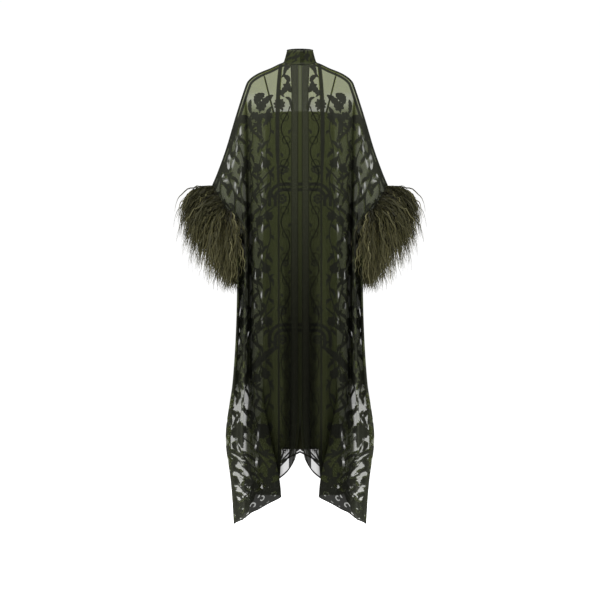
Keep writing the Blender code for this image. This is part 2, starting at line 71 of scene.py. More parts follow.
SHOULDER_LINE = np.array([
    # out, height
    (0.0000, -0.004),
    (0.0475, 0.001),
    (0.0672, 0.012),
    (0.1150, -0.009),
    (0.1650, -0.030),
    (0.1990, -0.055),
    (0.2145, -0.086),
    (0.2496, -0.195),
    (0.2867, -0.320),
    (0.3200, -0.413),
    (0.3430, CUFF_TOP),
])
HEM = {
    "front": (-1.513, -1.575, -1.617, -1.660, -1.662, -1.698, -1.734, -1.756, -1.768, -1.780, -1.782),
    "back": (-1.515, -1.542, -1.580, -1.626, -1.664, -1.698, -1.734, -1.756, -1.768, -1.780, -1.782),
}
HEIGHTS = (-0.10, -0.25, -0.45, -0.60, -0.74, -0.95, -1.22, -1.46, -1.62, -1.80)
FRONT_OUT = (
    # millimetres out: a row for each height, a column for each station
    (0, 42, 80, 125, 165, 195, 212, 222, 230, 236, 240),
    (0, 45, 86, 130, 166, 190, 206, 236, 262, 275, 285),
    (0, 46, 88, 131, 164, 187, 204, 228, 264, 303, 338),
    (0, 46, 89, 131, 162, 184, 202, 215, 232, 250, 264),
    (0, 46, 90, 131, 160, 182, 200, 210, 224, 243, 229),
    (0, 47, 92, 132, 158, 180, 199, 212, 226, 243, 236),
    (0, 49, 96, 138, 150, 172, 198, 218, 233, 259, 248),
    (0, 51, 101, 155, 108, 150, 196, 226, 242, 289, 270),
    (0, 52, 105, 164, 76, 135, 190, 222, 236, 269, 260),
    (0, 52, 105, 164, 74, 130, 186, 218, 234, 257, 251),
)
BACK_OUT = (
    # where the back has its own places: the lower five heights at stations 1 to 6
    (47, 92, 132, 160, 182, 200),
    (49, 96, 138, 164, 184, 202),
    (50, 99, 142, 168, 188, 204),
    (50, 99, 140, 166, 186, 202),
    (50, 98, 138, 164, 184, 200),
)
OUT = {"front": np.array(FRONT_OUT) / 1000, "back": np.array(FRONT_OUT) / 1000}
OUT["back"][5:, 1:7] = np.array(BACK_OUT) / 1000
FRONT_DEPTH = (
    (100, 98, 90, 70, 52, 42, 32, 36, 28, 18, 0),
    (128, 128, 120, 102, 80, 58, 40, 54, 38, 22, 0),
    (134, 135, 130, 114, 91, 62, 28, 70, 52, 62, 0),
    (136, 138, 134, 119, 97, 66, 18, 82, 52, 76, 0),
    (138, 141, 137, 124, 103, 74, 22, 95, 40, 78, 0),
    (141, 144, 142, 130, 112, 85, 30, 100, 35, 70, 0),
    (143, 146, 142, 128, 137, 122, 42, 104, 40, 62, 0),
    (141, 140, 128, 104, 150, 162, 62, 108, 46, 55, 0),
    (136, 132, 118, 96, 152, 170, 85, 110, 55, 48, 0),
    (134, 130, 116, 96, 152, 170, 90, 106, 60, 45, 0),
)
BACK_DEPTH = (
    (82, 82, 78, 66, 50, 40, 30, 34, 26, 16, 0),
    (112, 115, 112, 98, 75, 54, 37, 52, 36, 22, 0),
    (112, 117, 116, 103, 81, 55, 26, 62, 46, 56, 0),
    (113, 119, 118, 107, 86, 57, 16, 72, 46, 70, 0),
    (115, 121, 121, 111, 92, 62, 18, 82, 36, 72, 0),
    (118, 125, 125, 116, 99, 72, 26, 90, 34, 66, 0),
    (120, 131, 134, 122, 108, 90, 36, 96, 38, 58, 0),
    (118, 136, 144, 124, 118, 106, 44, 102, 44, 52, 0),
    (117, 138, 147, 124, 120, 109, 47, 102, 47, 48, 0),
    (116, 140, 150, 124, 122, 112, 50, 102, 50, 45, 0),
)
DEPTH = {"front": np.array(FRONT_DEPTH) / 1000, "back": np.array(BACK_DEPTH) / 1000}
SLIP_SECTIONS = np.array([
    # height, half width, front, back
    (-0.18, 0.126, 0.100, 0.086),
    (-0.26, 0.135, 0.110, 0.092),
    (-0.42, 0.127, 0.100, 0.088),
    (-0.62, 0.142, 0.110, 0.100),
    (-1.00, 0.144, 0.112, 0.104),
    (-1.65, 0.146, 0.114, 0.106),
])
SLIP_DROPS = np.array([
    # share of the half width, drop of the hem
    (0.00, 0.000),
    (0.50, 0.000),
    (0.54, 0.112),
    (0.68, 0.126),
    (0.82, 0.140),
    (0.93, 0.150),
    (1.00, 0.155),
])

# How finely the meshes are made
FRONT_COLUMNS = 160
FRONT_ROWS = 530
BACK_COLUMNS = 112
BACK_ROWS = 400
BAND_COLUMNS = 15
BAND_ROWS = 240
COLLAR_TURNS = 121
COLLAR_ROWS = 34
SLIP_ROWS = 120
LOCKS = 236
STRANDS = 25
STRAND_STEPS = 15
CUFF_POINTS = 240

# The cloth's folds and edges
FOLD_SHARE = 0.35
BODY_RIPPLE = 0.0022
FINE_RIPPLE = 0.0014
SEAM_EASE = 0.06
HEM_RADIUS = 0.0013
VENT_SHARE = 0.86
SLIP_EDGE_RADIUS = 0.0011
BAND_PROUD = 0.0016
BAND_EDGE_DROP = 0.0010
SLIP_FOLD = 0.004

# The pattern: line widths, repeats and the places of single motifs, in metres
DISTANCE_LIMIT = 0.006
LINE = 0.0025
RING = 0.0017
REPEAT = 0.405
GARLAND_STEPS = 10
GARLAND_TOP = -0.185
GARLAND_SWAY = 0.009
BORDER_REPEAT = 0.0900
SCROLL_AXIS = 0.0560
SCROLL_SWAY = 0.0165
CURL_RADIUS = 0.0150
DENSE_FROM = 0.085
FLANK_TOP = -1.20
FLANK_WIDTH = 0.13
RIM_WIDTH = 0.078
SMALL_LEAF_LOBES = 4
# STRAP_HALF_WIDTH: half width of the dark line painted on the front as the strap's shadow
STRAP_HALF_WIDTH = 0.0026
LARGE_GAP = 0.0125
CROSSINGS = (-0.478, -1.018)
BLANK_TOP = -0.205
STRIPE = (0.0870, 0.1000)
# STRAP_SHOWS: the ends of the dark line painted on the front as the strap's shadow
STRAP_SHOWS = ((0.1375, -0.046), (0.1020, -0.189))
GARLANDS = (
    # across, phase, size
    (0.122, 0.00, 0.86),
    (0.158, 0.42, 0.80),
    (0.194, 0.10, 0.80),
    (0.232, 0.65, 0.86),
    (0.268, 0.30, 0.90),
    (0.304, 0.80, 0.90),
    (0.340, 0.50, 0.90),
    (0.378, 0.20, 1.00),
    (0.414, 0.62, 1.00),
    (0.450, 0.35, 1.00),
)
UPPER_LEAVES = (
    # millimetres: root across, root height, tip across, tip height, half width
    (31, -4, 62, -36, 10),
    (80, -55, 50, -12, 5),
    (35, -70, 64, -46, 9.2),
    (84, -122, 45, -64, 11),
    (31, -112, 64, -82, 10.5),
    (33, -146, 56, -132, 5.5),
    (31, -190, 44, -142, 6.5),
    (78, -100, 60, -128, 5.2),
    (142, -112, 172, -150, 15),
    (106, -120, 154, -184, 12),
    (190, -134, 187, -190, 7.5),
    (134, -194, 172, -222, 8.5),
    (112, -166, 124, -235, 9),
    (194, -200, 180, -262, 8),
    (152, -206, 146, -274, 8.5),
)
UPPER_FLOWERS = (
    # across, height, radius, petals, turn
    (0.080, -0.157, 0.024, 9, 1.3),
    (0.152, -0.163, 0.021, 7, 0.4),
    (0.176, -0.200, 0.018, 6, 0.9),
    (0.122, -0.205, 0.019, 7, 0.2),
)
CROSSING_STEMS = (
    # start across, start above the crossing, end across, end above the crossing
    (0.100, 0.076, 0.184, -0.033),
    (0.112, 0.018, 0.188, -0.052),
    (0.104, -0.078, 0.170, -0.150),
)
HEM_LINES = (
    # start across, start height, end across, end height
    (0.078, -1.552, 0.026, -1.500),
    (0.066, -1.600, 0.022, -1.552),
)
LIGHT_GAPS = (
    # millimetres: out, height, half width, half length; and the tilt
    (232, -254, 3.6, 22, 0.00),
    (246, -284, 3.6, 14, 0.20),
    (246, -325, 3.6, 22, 0.15),
    (275, -358, 6, 10, 0.00),
    (260, -376, 3.6, 25, 0.25),
    (279, -392, 6.4, 15, -0.15),
    (230, -425, 2.6, 25, 0.05),
    (301, -428, 5.6, 10, 0.20),
    (292, -448, 12, 5, 0.30),
    (253, -466, 3.2, 15, 0.00),
    (244, -492, 2.6, 14, 0.00),
    (150, -300, 2.2, 12, 0.40),
    (147, -338, 2.6, 10, -0.20),
    (147, -385, 2.9, 19, 0.05),
    (143, -466, 2.6, 9, 0.20),
    (147, -500, 2.6, 10, 0.10),
    (147, -548, 2.6, 10, 0.10),
    (147, -630, 3.1, 19, 0.05),
    (148, -742, 2.7, 12, 0.05),
    (148, -815, 2.4, 12, 0.00),
    (150, -893, 2.9, 15, 0.05),
    (148, -1000, 2.4, 17, 0.00),
    (173, -675, 2.9, 10, 0.25),
    (174, -815, 2.9, 20, 0.05),
    (176, -930, 1.9, 17, 0.00),
    (234, -960, 2.7, 19, 0.15),
    (236, -1030, 2.4, 10, 0.00),
    (237, -1075, 2.2, 12, 0.10),
    (202, -1045, 1.9, 10, 0.10),
    (162, -1435, 3.8, 20, 0.00),
    (172, -1482, 3.8, 12, 0.30),
    (170, -1545, 6.8, 12, 0.30),
    (150, -1626, 7.6, 14, -0.30),
    (221, -1325, 17, 75, 0.12),
    (241, -1450, 12.8, 50, 0.08),
    (214, -1595, 14, 26, 0.30),
)

# How dense the thin ground is, from 0 to 1, by what lies behind it
THIN = 0.46
# SHOULDER_EXTRA: denser ground at the shoulders, which carries the painted backlight colour LIT
SHOULDER_EXTRA = 0.13
DOUBLED = 0.88
SLEEVE = 0.79
GAP = 0.38
WING = 0.86
ALONE = 0.80
CENTRE_STRIP = 0.985
# VALLEY: the ground made dense along the deep fold so that it reads dark, painted shade in the crease
VALLEY = 0.97

# How much of its light the cloth loses there, painted into its colour as shade; FOLD_LIGHT and
# WING_LIGHT paint light in instead
SLIP_SHADE = 0.28
LOW_SHADE = 0.60
CENTRE_SHADE = 0.70
FOLD_LIGHT = 0.32
WING_SHADE = 0.25
OVERLAP_SHADE = 0.45
WING_LIGHT = 0.85
STRIP_SHADE = 0.22

# Colours, and how the surfaces shine and roughen
GROUND = (0.044, 0.051, 0.020)
# LIT: painted backlight, the thin ground's colour where light from behind is painted in at the
# shoulders
LIT = (0.118, 0.137, 0.031)
MOTIF = (0.0235, 0.0250, 0.0180)
BAND = (0.0235, 0.0255, 0.0155)
SLIP = (0.034, 0.038, 0.0165)
# the slip's colour at its hem: painted shade, darker lower down
SLIP_HEM_SHADE = (0.0086, 0.0091, 0.0032)
FRINGE_RAMP = (
    # place, colour
    (0.00, (0.007, 0.006, 0.003)),
    (0.42, (0.033, 0.032, 0.012)),
    (0.68, (0.080, 0.074, 0.029)),
    (1.00, (0.180, 0.168, 0.085)),
)
BINDING = (0.008, 0.009, 0.006)
CLOTH_GLOSS = 0.025
WEAVE_SCALE = 260
WEAVE_WAVER = 0.6
FUZZ_SCALE = 420
SPECKLE_SCALE = 260
CLOUD_SCALE = 38
RIB_SCALE = 120
CREPE_SCALE = 900
MOTTLE_SCALE = 1400

# The feathers
FEATHER_LENGTH = 0.174
FEATHER_DEPTH = 0.165
TAPE_NEAR = 0.0015
TAPE_FAR = 0.018
TAPE_HALF = 0.001

# The light and the camera
AROUND = 0.62
FLOOR = -2.04
LIGHTS = (
    # name, place, power, size
    ("key", (-2.2, -3.8, 2.0), 150, 2.4),
    ("fill", (2.8, -4.0, 0.8), 70, 3.0),
    ("top", (0.0, -0.6, 2.4), 34, 1.8),
    ("back", (0.0, 4.2, 0.6), 80, 3.0),
)
CAMERA_DISTANCE = 9.0
METRES_PER_PIXEL = 0.0039
ORIGIN_ROW = 66
PICTURE_WIDTH = 600
SENSOR_WIDTH = 36


# Curves and surfaces


def hermite(t, low, high, slope_low, slope_high):
    """A smooth step from low to high for t from 0 to 1, with these slopes at its ends."""
    return (
        (2 * t**3 - 3 * t**2 + 1) * low
        + (t**3 - 2 * t**2 + t) * slope_low
        + (3 * t**2 - 2 * t**3) * high
        + (t**3 - t**2) * slope_high
    )


def spline(knots, values, at):
    """A smooth curve through the values at rising knots."""
    knots = np.asarray(knots, float)
    values = np.asarray(values, float)
    at = np.clip(np.asarray(at, float), knots[0], knots[-1])
    slopes = np.gradient(values, knots, axis=0)
    i = np.clip(np.searchsorted(knots, at) - 1, 0, len(knots) - 2)
    width = knots[i + 1] - knots[i]
    t = (at - knots[i]) / width
    if values.ndim > 1:
        t, width = t[..., None], width[..., None]
    return hermite(t, values[i], values[i + 1], width * slopes[i], width * slopes[i + 1])


def hanging(face, table, station, height):
    """One measure of the hanging cloth at arrays of stations and heights."""
    shape = height.shape
    height, station = height.ravel(), station.ravel()
    rows = spline([-h for h in HEIGHTS], table[face], -height)
    slopes = np.gradient(rows, axis=1)
    i = np.clip(np.ceil(station).astype(int) - 1, 0, rows.shape[1] - 2)
    t = station - i
    n = np.arange(len(i))
    value = hermite(t, rows[n, i], rows[n, i + 1], slopes[n, i], slopes[n, i + 1])
    return value.reshape(shape)


def top_edge(face, station):
    """Out, depth and height of the panel's upper edge."""
    reach = NECK_FRONT if face == "front" else NECK_BACK
    rise = 0.0 if face == "front" else NECK_RISE_BACK
    line = spline(STATIONS, SHOULDER_LINE, station)
    out, height = line[..., 0], line[..., 1]
    neck = station < 2
    out = np.where(neck, NECK_HALF_WIDTH * np.sin(np.minimum(station, 2) * np.pi / 4), out)
    level = np.clip(1 - (out / NECK_HALF_WIDTH) ** 2, 0, 1)
    depth = np.where(neck, reach * np.sqrt(level), 0)
    return out, depth, height + rise * depth / reach


def cuff_depth(height):
    """How deep the tight cuff is at its edge."""
    share = np.clip((CUFF_TOP - height) / (CUFF_TOP - CUFF_BOTTOM), 0, 1)
    return CUFF_HALF_DEPTH * np.sin(np.pi * share)


def cloth(face, station, share):
    """Out, depth and height of the cloth's middle. share runs from the upper edge to the hem."""
    out_top, depth_top, top = top_edge(face, station)
    corner = HEM_CORNER if face == "front" else 1
    at = np.where(station < 1, station**corner, station)
    height = top + (spline(STATIONS, HEM[face], at) - top) * share
    out = hanging(face, OUT, station, height)
    depth = hanging(face, DEPTH, station, height)
    depth = depth + cuff_depth(height) * np.maximum(0, station - 9)
    drop = top - height
    settled = np.minimum(1, drop / SETTLING_DROP)
    out = out + (out_top - hanging(face, OUT, station, top)) * (1 - settled) ** 2
    rounded = np.sqrt(1 - (1 - np.minimum(1, drop / ROUNDED_DROP)) ** 2)
    depth = depth * rounded + depth_top * (1 - rounded)
    out = np.maximum(out, THINNEST)
    if face == "front":
        open_share = np.clip((VENT_TOP - height) / (VENT_TOP - HEM[face][0]), 0, 1)
        out = out + VENT_HALF_WIDTH * open_share**1.5 * np.maximum(0, 1 - station)
    return out, np.maximum(depth, THINNEST), height


def even_stations(face, count):
    """Stations that lie about evenly across the cloth, with its depth counted by the fold share."""
    fine = np.linspace(0, 10, 1201)
    total = np.zeros(len(fine))
    for height in (-0.5, -0.95, -1.3, -1.6):
        level = np.full(len(fine), height)
        x = hanging(face, OUT, fine, level)
        y = hanging(face, DEPTH, fine, level)
        total[1:] += np.hypot(np.diff(x), FOLD_SHARE * np.diff(y))
    along = np.cumsum(total)
    return np.interp(np.linspace(0, along[-1], count), along, fine)


def unit(v):
    return v / np.maximum(np.linalg.norm(v, axis=-1, keepdims=True), 1e-12)


def grid_normals(grid, outwards):
    normals = unit(np.cross(np.gradient(grid, axis=1), np.gradient(grid, axis=0)))
    return normals if (normals @ np.asarray(outwards, float)).sum() > 0 else -normals


def smooth(edge_low, edge_high, x):
    t = np.clip((x - edge_low) / (edge_high - edge_low), 0, 1)
    return t * t * (3 - 2 * t)


def lengths(grid, axis):
    """Distance along the cloth from the first row or column."""
    steps = np.linalg.norm(np.diff(grid, axis=axis), axis=-1)
    total = np.cumsum(steps, axis=axis)
    return np.concatenate([np.zeros_like(np.take(total, [0], axis=axis)), total], axis=axis)


def segment_distance(x, z, start, end):
    """Distance from each point to a straight line between two points."""
    dx, dz = end[0] - start[0], end[1] - start[1]
    t = np.clip(((x - start[0]) * dx + (z - start[1]) * dz) / (dx * dx + dz * dz), 0, 1)
    return np.hypot(x - start[0] - t * dx, z - start[1] - t * dz)


# The burnt-out pattern, drawn on the cloth's own measures


class Chart:
    """Distance in metres to a pattern's edge at every point, below zero inside it."""

    def __init__(self, across, height):
        self.u = across.ravel()
        self.z = height.ravel()
        self.shape = across.shape
        self.everywhere = np.arange(len(self.u))
        self.distance = np.full(len(self.u), 0.02)

    def near(self, u, z, reach):
        """The points of the square round a place."""
        return np.nonzero((np.abs(self.u - u) < reach) & (np.abs(self.z - z) < reach))[0]

    def result(self):
        """The distance in millimetres, limited on both sides, in the shape of the grid."""
        return np.clip(self.distance, -DISTANCE_LIMIT, DISTANCE_LIMIT).reshape(self.shape) * 1000

    def add(self, where, distance):
        self.distance[where] = np.minimum(self.distance[where], distance)

    def cut(self, where, distance):
        self.distance[where] = np.maximum(self.distance[where], -distance)

    def flower(self, u, z, radius, petals, turn, ring=0.0):
        """A round flower with scalloped petals, and an open ring in it if it is given one."""
        where = self.near(u, z, radius * 1.3)
        x, y = self.u[where] - u, self.z[where] - z
        r, a = np.hypot(x, y), np.arctan2(y, x)
        lobe = np.abs(np.cos(petals * (a + turn) / 2))
        self.add(where, r - radius * (0.66 + 0.34 * lobe**0.7))
        if ring:
            self.cut(where, np.abs(r - radius * 0.42) - ring)

    def leaf(self, u, z, angle, length, width, bend, lobes=3):
        """A bent leaf from its root at (u, z), with a lobed edge."""
        c, s = math.cos(angle), math.sin(angle)
        where = self.near(u + c * length / 2, z + s * length / 2, length * 0.75)
        x, y = self.u[where] - u, self.z[where] - z
        t = (x * c + y * s) / length
        side = -x * s + y * c - bend * length * 4 * t * (1 - t)
        inside = np.clip(t, 0, 1)
        lobe = 0.74 + 0.26 * np.abs(np.cos(np.pi * lobes * inside))
        half = width * np.sin(np.pi * inside**0.8) ** 0.7 * lobe
        beyond = np.maximum(0, np.maximum(-t, t - 1)) * length
        self.add(where, np.abs(side) - half + beyond * 2)

    def stroke(self, points, half_width):
        """A line of even width through the points."""
        points = np.asarray(points, float)
        for start, end in zip(points[:-1], points[1:]):
            reach = np.abs(end - start).max() / 2 + half_width + 0.004
            where = self.near(*((start + end) / 2), reach)
            self.add(where, segment_distance(self.u[where], self.z[where], start, end) - half_width)


def arc(u, z, radius, start, end, count=9, shrink=0.0):
    """Points along an arc, or along a scroll if it shrinks."""
    turns = np.linspace(start, end, count)
    radii = radius * (1 - shrink * np.linspace(0, 1, count))
    return np.stack([u + radii * np.cos(turns), z + radii * np.sin(turns)], axis=1)


def draw_garland(chart, centre, phase, size, low):
    """A waving stem with flowers and leaves, the same again in every repeat."""
    rng = np.random.default_rng(int(centre * 1000))
    pick = rng.random((GARLAND_STEPS, 6))

    def sway(height):
        return centre + GARLAND_SWAY * math.sin(2 * math.pi * (height * 2 / REPEAT + phase))

    chart.stroke([(sway(h), h) for h in np.arange(GARLAND_TOP - 0.005, low, -0.010)], LINE * 0.9)
    for i, h in enumerate(np.arange(GARLAND_TOP, low, -REPEAT / GARLAND_STEPS)):
        p = pick[i % GARLAND_STEPS]
        z = h - phase * 0.04
        u = sway(z)
        side = 1 if i % 2 else -1
        if i % 5 == 0:
            radius = (0.0195 + 0.005 * p[0]) * size
            chart.flower(u + side * 0.005, z, radius, 7 + int(p[1] * 3), p[2] * 6)
        else:
            angle = -math.pi / 2 + side * (0.35 + 0.45 * p[3])
            length = (0.044 + 0.014 * p[4]) * size
            chart.leaf(u, z + 0.008, angle, length, 0.0082 * size, side * 0.14)
        if p[1] > 0.3:
            angle = math.pi / 2 - side * (0.45 + 0.4 * p[1])
            chart.leaf(u, z, angle, (0.028 + 0.012 * p[2]) * size, 0.0064 * size, side * 0.12)


def draw_first_motifs(chart):
    """The larger leaves and flowers at the top, beside the centre bands and under the shoulder."""
    for u0, z0, u1, z1, half in np.array(UPPER_LEAVES) / 1000:
        angle, length = math.atan2(z1 - z0, u1 - u0), math.hypot(u1 - u0, z1 - z0)
        chart.leaf(u0, z0, angle, length * 1.1, half * 1.2, 0.12, 5)
    for flower in UPPER_FLOWERS:
        chart.flower(*flower)


def draw_border(chart, low):
    """The flowers and curling leaves of the scroll beside the centre bands."""
    for i, h in enumerate(np.arange(CROSSINGS[0] + 4.25 * BORDER_REPEAT, low, -BORDER_REPEAT)):
        side = 1 if i % 2 else -1
        chart.leaf(0.0550 + side * 0.012, h, math.pi / 2 - side * 0.5, 0.022, 0.0050, side * 0.15)
        if i % 4 == 3:
            chart.flower(SCROLL_AXIS, h - BORDER_REPEAT / 2, CURL_RADIUS, 6, 0.4 * i, RING)


def draw_crossing(chart, z):
    """The rosettes and stems round the place where a border runs across the front."""
    for rise in (0.066, -0.046):
        chart.flower(0.0690, z + rise, 0.020, 7, rise * 40, RING)
    t = np.linspace(0, 1, 12)
    for u0, z0, u1, z1 in CROSSING_STEMS:
        across = u0 + (u1 - u0) * t + 0.010 * np.sin(np.pi * t)
        chart.stroke(np.stack([across, z + z0 + (z1 - z0) * t], axis=1), LINE * 1.1)


def edge_border(chart, span, dense_from, offset=0.0):
    """Leaves along an edge, and a dense band with light curls in it beyond the place given.

    z is minus the distance from the edge, and the leaves keep to their own side of it."""
    holes = Chart(chart.u, chart.z)
    for i, u in enumerate(np.arange(0.022 + offset, span, 0.044)):
        side = 1 if i % 2 else -1
        holes.stroke(arc(u, -0.030 - 0.006 * side, 0.0115, side * 0.4, side * 4.6, 14, 0.50), 0.0024)
        holes.leaf(u + 0.020, -0.010, math.pi / 2 + 0.6 * side, 0.026, 0.0042, side * 0.15)
        holes.leaf(u + 0.006, -0.056, 0.5 * side, 0.022, 0.0034, side * 0.15)
    band = np.maximum(np.abs(chart.z + 0.032) - 0.032, -holes.distance)
    line = np.abs(chart.z + 0.066) - 0.0028
    for shape in (band, line):
        chart.add(chart.everywhere, np.maximum(shape, dense_from - chart.u))
    for i, u in enumerate(np.arange(0.02, span, 0.036)):
        side = 1 if i % 2 else -1
        if u < dense_from and i % 2:
            continue
        inner = -0.010 if u < dense_from else -0.064
        chart.leaf(u, inner, -math.pi / 2 + 0.75 * side, 0.044, 0.0070, side * 0.14, SMALL_LEAF_LOBES)
        if u > dense_from:
            angle = -math.pi / 2 - 0.5 * side
            chart.leaf(u + 0.016, inner - 0.026, angle, 0.038, 0.0062, -side * 0.14, SMALL_LEAF_LOBES)


def rim_distance(grid):
    """Distance, as seen from the front, to the shoulder seam and the edge over the arm."""
    line = spline(STATIONS, SHOULDER_LINE, np.linspace(2, 10, 41))
    x, z = np.abs(grid[..., 0]).ravel(), grid[..., 2].ravel()
    near = np.nonzero(z > CUFF_TOP - 0.03)[0]
    best = np.full(len(x), 1.0)
    for start, end in zip(line[:-1], line[1:]):
        best[near] = np.minimum(best[near], segment_distance(x[near], z[near], start, end))
    return best


def pattern(face, across, height, from_rim, to_hem, to_side):
    """The broad part of a panel's pattern: flowers, leaves and dense borders."""
    chart = Chart(across, height)
    everywhere, u, z = chart.everywhere, chart.u, chart.z
    to_hem, to_side = to_hem.ravel(), to_side.ravel()
    low = float(height.min())
    for garland in GARLANDS:
        draw_garland(chart, *garland, low)
    chart.cut(everywhere, BLANK_TOP + 0.012 * np.sin(u * 95) - z)
    chart.cut(everywhere, u - STRIPE[1])
    draw_border(chart, low)
    if face == "front":
        draw_first_motifs(chart)
    for crossing in CROSSINGS:
        draw_crossing(chart, crossing)
    for i in range(4):
        chart.leaf(0.075 + 0.03 * i, -1.085 - 0.022 * i, -0.80, 0.150, 0.0085, 0.06, 7)
    if face == "front":
        chart.add(everywhere, from_rim - 0.0080)
        chart.add(everywhere, np.abs(from_rim - 0.0165) - 0.0052)
    else:
        chart.add(everywhere, from_rim - 0.0060)
    rim = Chart(across, -to_hem.reshape(across.shape))
    edge_border(rim, float(across[-1].max()), DENSE_FROM)
    flank = Chart(-height, -to_side.reshape(across.shape))
    edge_border(flank, -low, 9.0, 0.03)
    sides = np.where((z < FLANK_TOP) & (to_side < FLANK_WIDTH), flank.distance, 1)
    chart.distance = np.maximum(chart.distance, RIM_WIDTH - to_hem)
    chart.distance = np.minimum(chart.distance, np.minimum(rim.distance, sides))
    for line in HEM_LINES:
        chart.stroke([line[:2], line[2:]], LINE * 1.2)
    chart.add(everywhere, to_hem - 0.0060)
    chart.add(everywhere, to_side - 0.0040)
    return chart.result()


def open_gaps(grid, distance, veil):
    """Thins every layer where light comes through. The large places keep some leaves."""
    x, z = np.abs(grid[..., 0]), grid[..., 2]
    for *places, tilt in LIGHT_GAPS:
        out, height, wide, long = np.array(places) / 1000
        along, aside = z - height, x - out + tilt * (z - height)
        inside = 1 - np.hypot(aside / wide, along / long)
        if wide > LARGE_GAP:
            distance = distance + np.clip(inside * 6, 0, 1.2)
            least = THIN
        else:
            distance = np.maximum(distance, np.clip(inside * wide * 1500, -6, 6))
            least = GAP
        thinner = least + (veil - least) * smooth(0.1, -0.3, inside)
        veil = np.where(inside > -0.3, np.minimum(veil, thinner), veil)
    return distance, veil


def painted_strap_shade(grid):
    """Distance from the front to the dark line painted on the cloth where the slip's strap shows dark
    under it, a painted shadow of the strap.
    """
    distance = segment_distance(np.abs(grid[..., 0]), grid[..., 2], *STRAP_SHOWS)
    return (distance - STRAP_HALF_WIDTH) * 1000


def veil_and_light(face, station, across, height):
    """How dense the thin ground is at each point, how much light its colour gives back as painted
    shade, and where light from behind is painted into it.
    """
    # painted backlight: the shoulders above the slip, where light from behind is painted into the
    # ground's colour
    painted_backlight = smooth(-0.22, -0.11, height) * smooth(0.0085, 0.012, across)
    over_slip = smooth(SLIP_TOP + 0.004, SLIP_TOP - 0.004, height) * smooth(0.135, 0.125, across)
    below_slip = smooth(-1.50, -1.46, height) * smooth(0.085, 0.070, across)
    corner = smooth(-1.66, -1.60, height) * smooth(0.060, 0.090, across)
    body = smooth(6.6, 6.2, station) * smooth(-0.092, -0.140, height)
    body = body * smooth(0.098, 0.116, across + 0.06 * smooth(-0.9, -1.2, height))
    body = np.maximum(body, over_slip) * np.maximum(below_slip, corner)
    wing = smooth(6.0, 6.6, station) * smooth(-1.34, -1.20, height)
    sleeve = wing * smooth(-0.14, -0.22, height) * smooth(-0.62, -0.50, height)
    wing = wing * smooth(-0.50, -0.62, height)
    veil = THIN + SHOULDER_EXTRA * painted_backlight * (1 - body)
    veil = veil + (DOUBLED - THIN) * body * (1 - painted_backlight * (1 - over_slip))
    veil = veil + (SLEEVE - THIN) * sleeve + (WING - THIN) * wing
    tip = smooth(8.6, 9.6, station) * smooth(-1.68, -1.75, height)
    veil = veil + (WING - veil) * tip
    # painted shade: the deep fold at station 6, and a lighter one at station 5.2, made denser and
    # darker
    valley = np.exp(-(((station - 6.0) / 0.26) ** 2)) * smooth(-0.10, -0.16, height)
    valley = valley * smooth(-1.42, -1.16, height)
    second = np.exp(-(((station - 5.2) / 0.14) ** 2)) * smooth(-0.36, -0.44, height)
    valley = np.maximum(valley, 0.6 * second * smooth(-1.1, -0.9, height))
    veil = veil + (VALLEY - veil) * valley
    strip = smooth(0.0085, 0.0070, across)
    if face == "front":
        alone = smooth(-1.590, -1.640, height) * smooth(3.6, 4.0, station) * smooth(6.4, 6.0, station)
        veil = np.maximum(veil, np.maximum(CENTRE_STRIP * strip, ALONE * alone))
    shade = 1 - (0.75 - 0.45 * smooth(-0.75, -1.05, height)) * valley
    shade = shade * light_fall(height, across) * (1 - WING_SHADE * wing) * (1 - SLIP_SHADE * over_slip)
    overlap = smooth(3.2, 3.8, station) * smooth(6.5, 6.0, station) * smooth(-1.25, -1.50, height)
    shade = shade * (1 - OVERLAP_SHADE * overlap)
    shade = shade * (1 + WING_LIGHT * smooth(5.8, 6.4, station) * smooth(-0.90, -1.20, height))
    shade = shade * (1 - STRIP_SHADE * strip * smooth(0.0010, 0.0035, across))
    return veil, shade, painted_backlight * (1 - over_slip)


def light_fall(height, across):
    """Less light lower down and between the legs, and more on the folds beside them."""
    low = smooth(-0.15, -1.25, height) * (1 - 0.85 * smooth(0.205, 0.235, across))
    centre = smooth(0.072, 0.050, across) * smooth(-0.45, -1.15, height)
    centre = centre * (1 - 0.30 * smooth(0.036, 0.022, across))
    fold = smooth(0.058, 0.070, across) * smooth(0.112, 0.100, across) * smooth(-0.60, -0.90, height)
    fold = fold * (1 - 1.8 * smooth(-1.35, -1.50, height))
    return (1 - LOW_SHADE * low**0.7) * (1 - CENTRE_SHADE * centre) * (1 + FOLD_LIGHT * fold)


# Making meshes


def new_piece(name, points, faces, material, attributes=None, node=None):
    """A mesh object from arrays, with values at each point, that rides on the frame."""
    points = np.ascontiguousarray(points, dtype=np.float32)
    faces = np.ascontiguousarray(faces, dtype=np.int32)
    mesh = bpy.data.meshes.new(name)
    mesh.vertices.add(len(points))
    mesh.vertices.foreach_set("co", points.ravel())
    corners = faces.shape[1]
    mesh.loops.add(faces.size)
    mesh.loops.foreach_set("vertex_index", faces.ravel())
    mesh.polygons.add(len(faces))
    mesh.polygons.foreach_set("loop_start", np.arange(len(faces), dtype=np.int32) * corners)
    mesh.update(calc_edges=True)
    for key, values in (attributes or {}).items():
        layer = mesh.attributes.new(key, "FLOAT", "POINT")
        layer.data.foreach_set("value", np.ascontiguousarray(values, dtype=np.float32).ravel())
    mesh.materials.append(material)
    mesh.shade_smooth()
    obj = bpy.data.objects.new(name, mesh)
    bpy.context.scene.collection.objects.link(obj)
    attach(obj, "root")
    if node:
        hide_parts(node)
    return obj


def grid_faces(rows, columns, flip=False):
    """The quads of a grid of points."""
    a = (np.arange(rows - 1)[:, None] * columns + np.arange(columns - 1)).ravel()
    quads = np.stack([a, a + columns, a + columns + 1, a + 1], axis=1)
    return quads[:, ::-1] if flip else quads


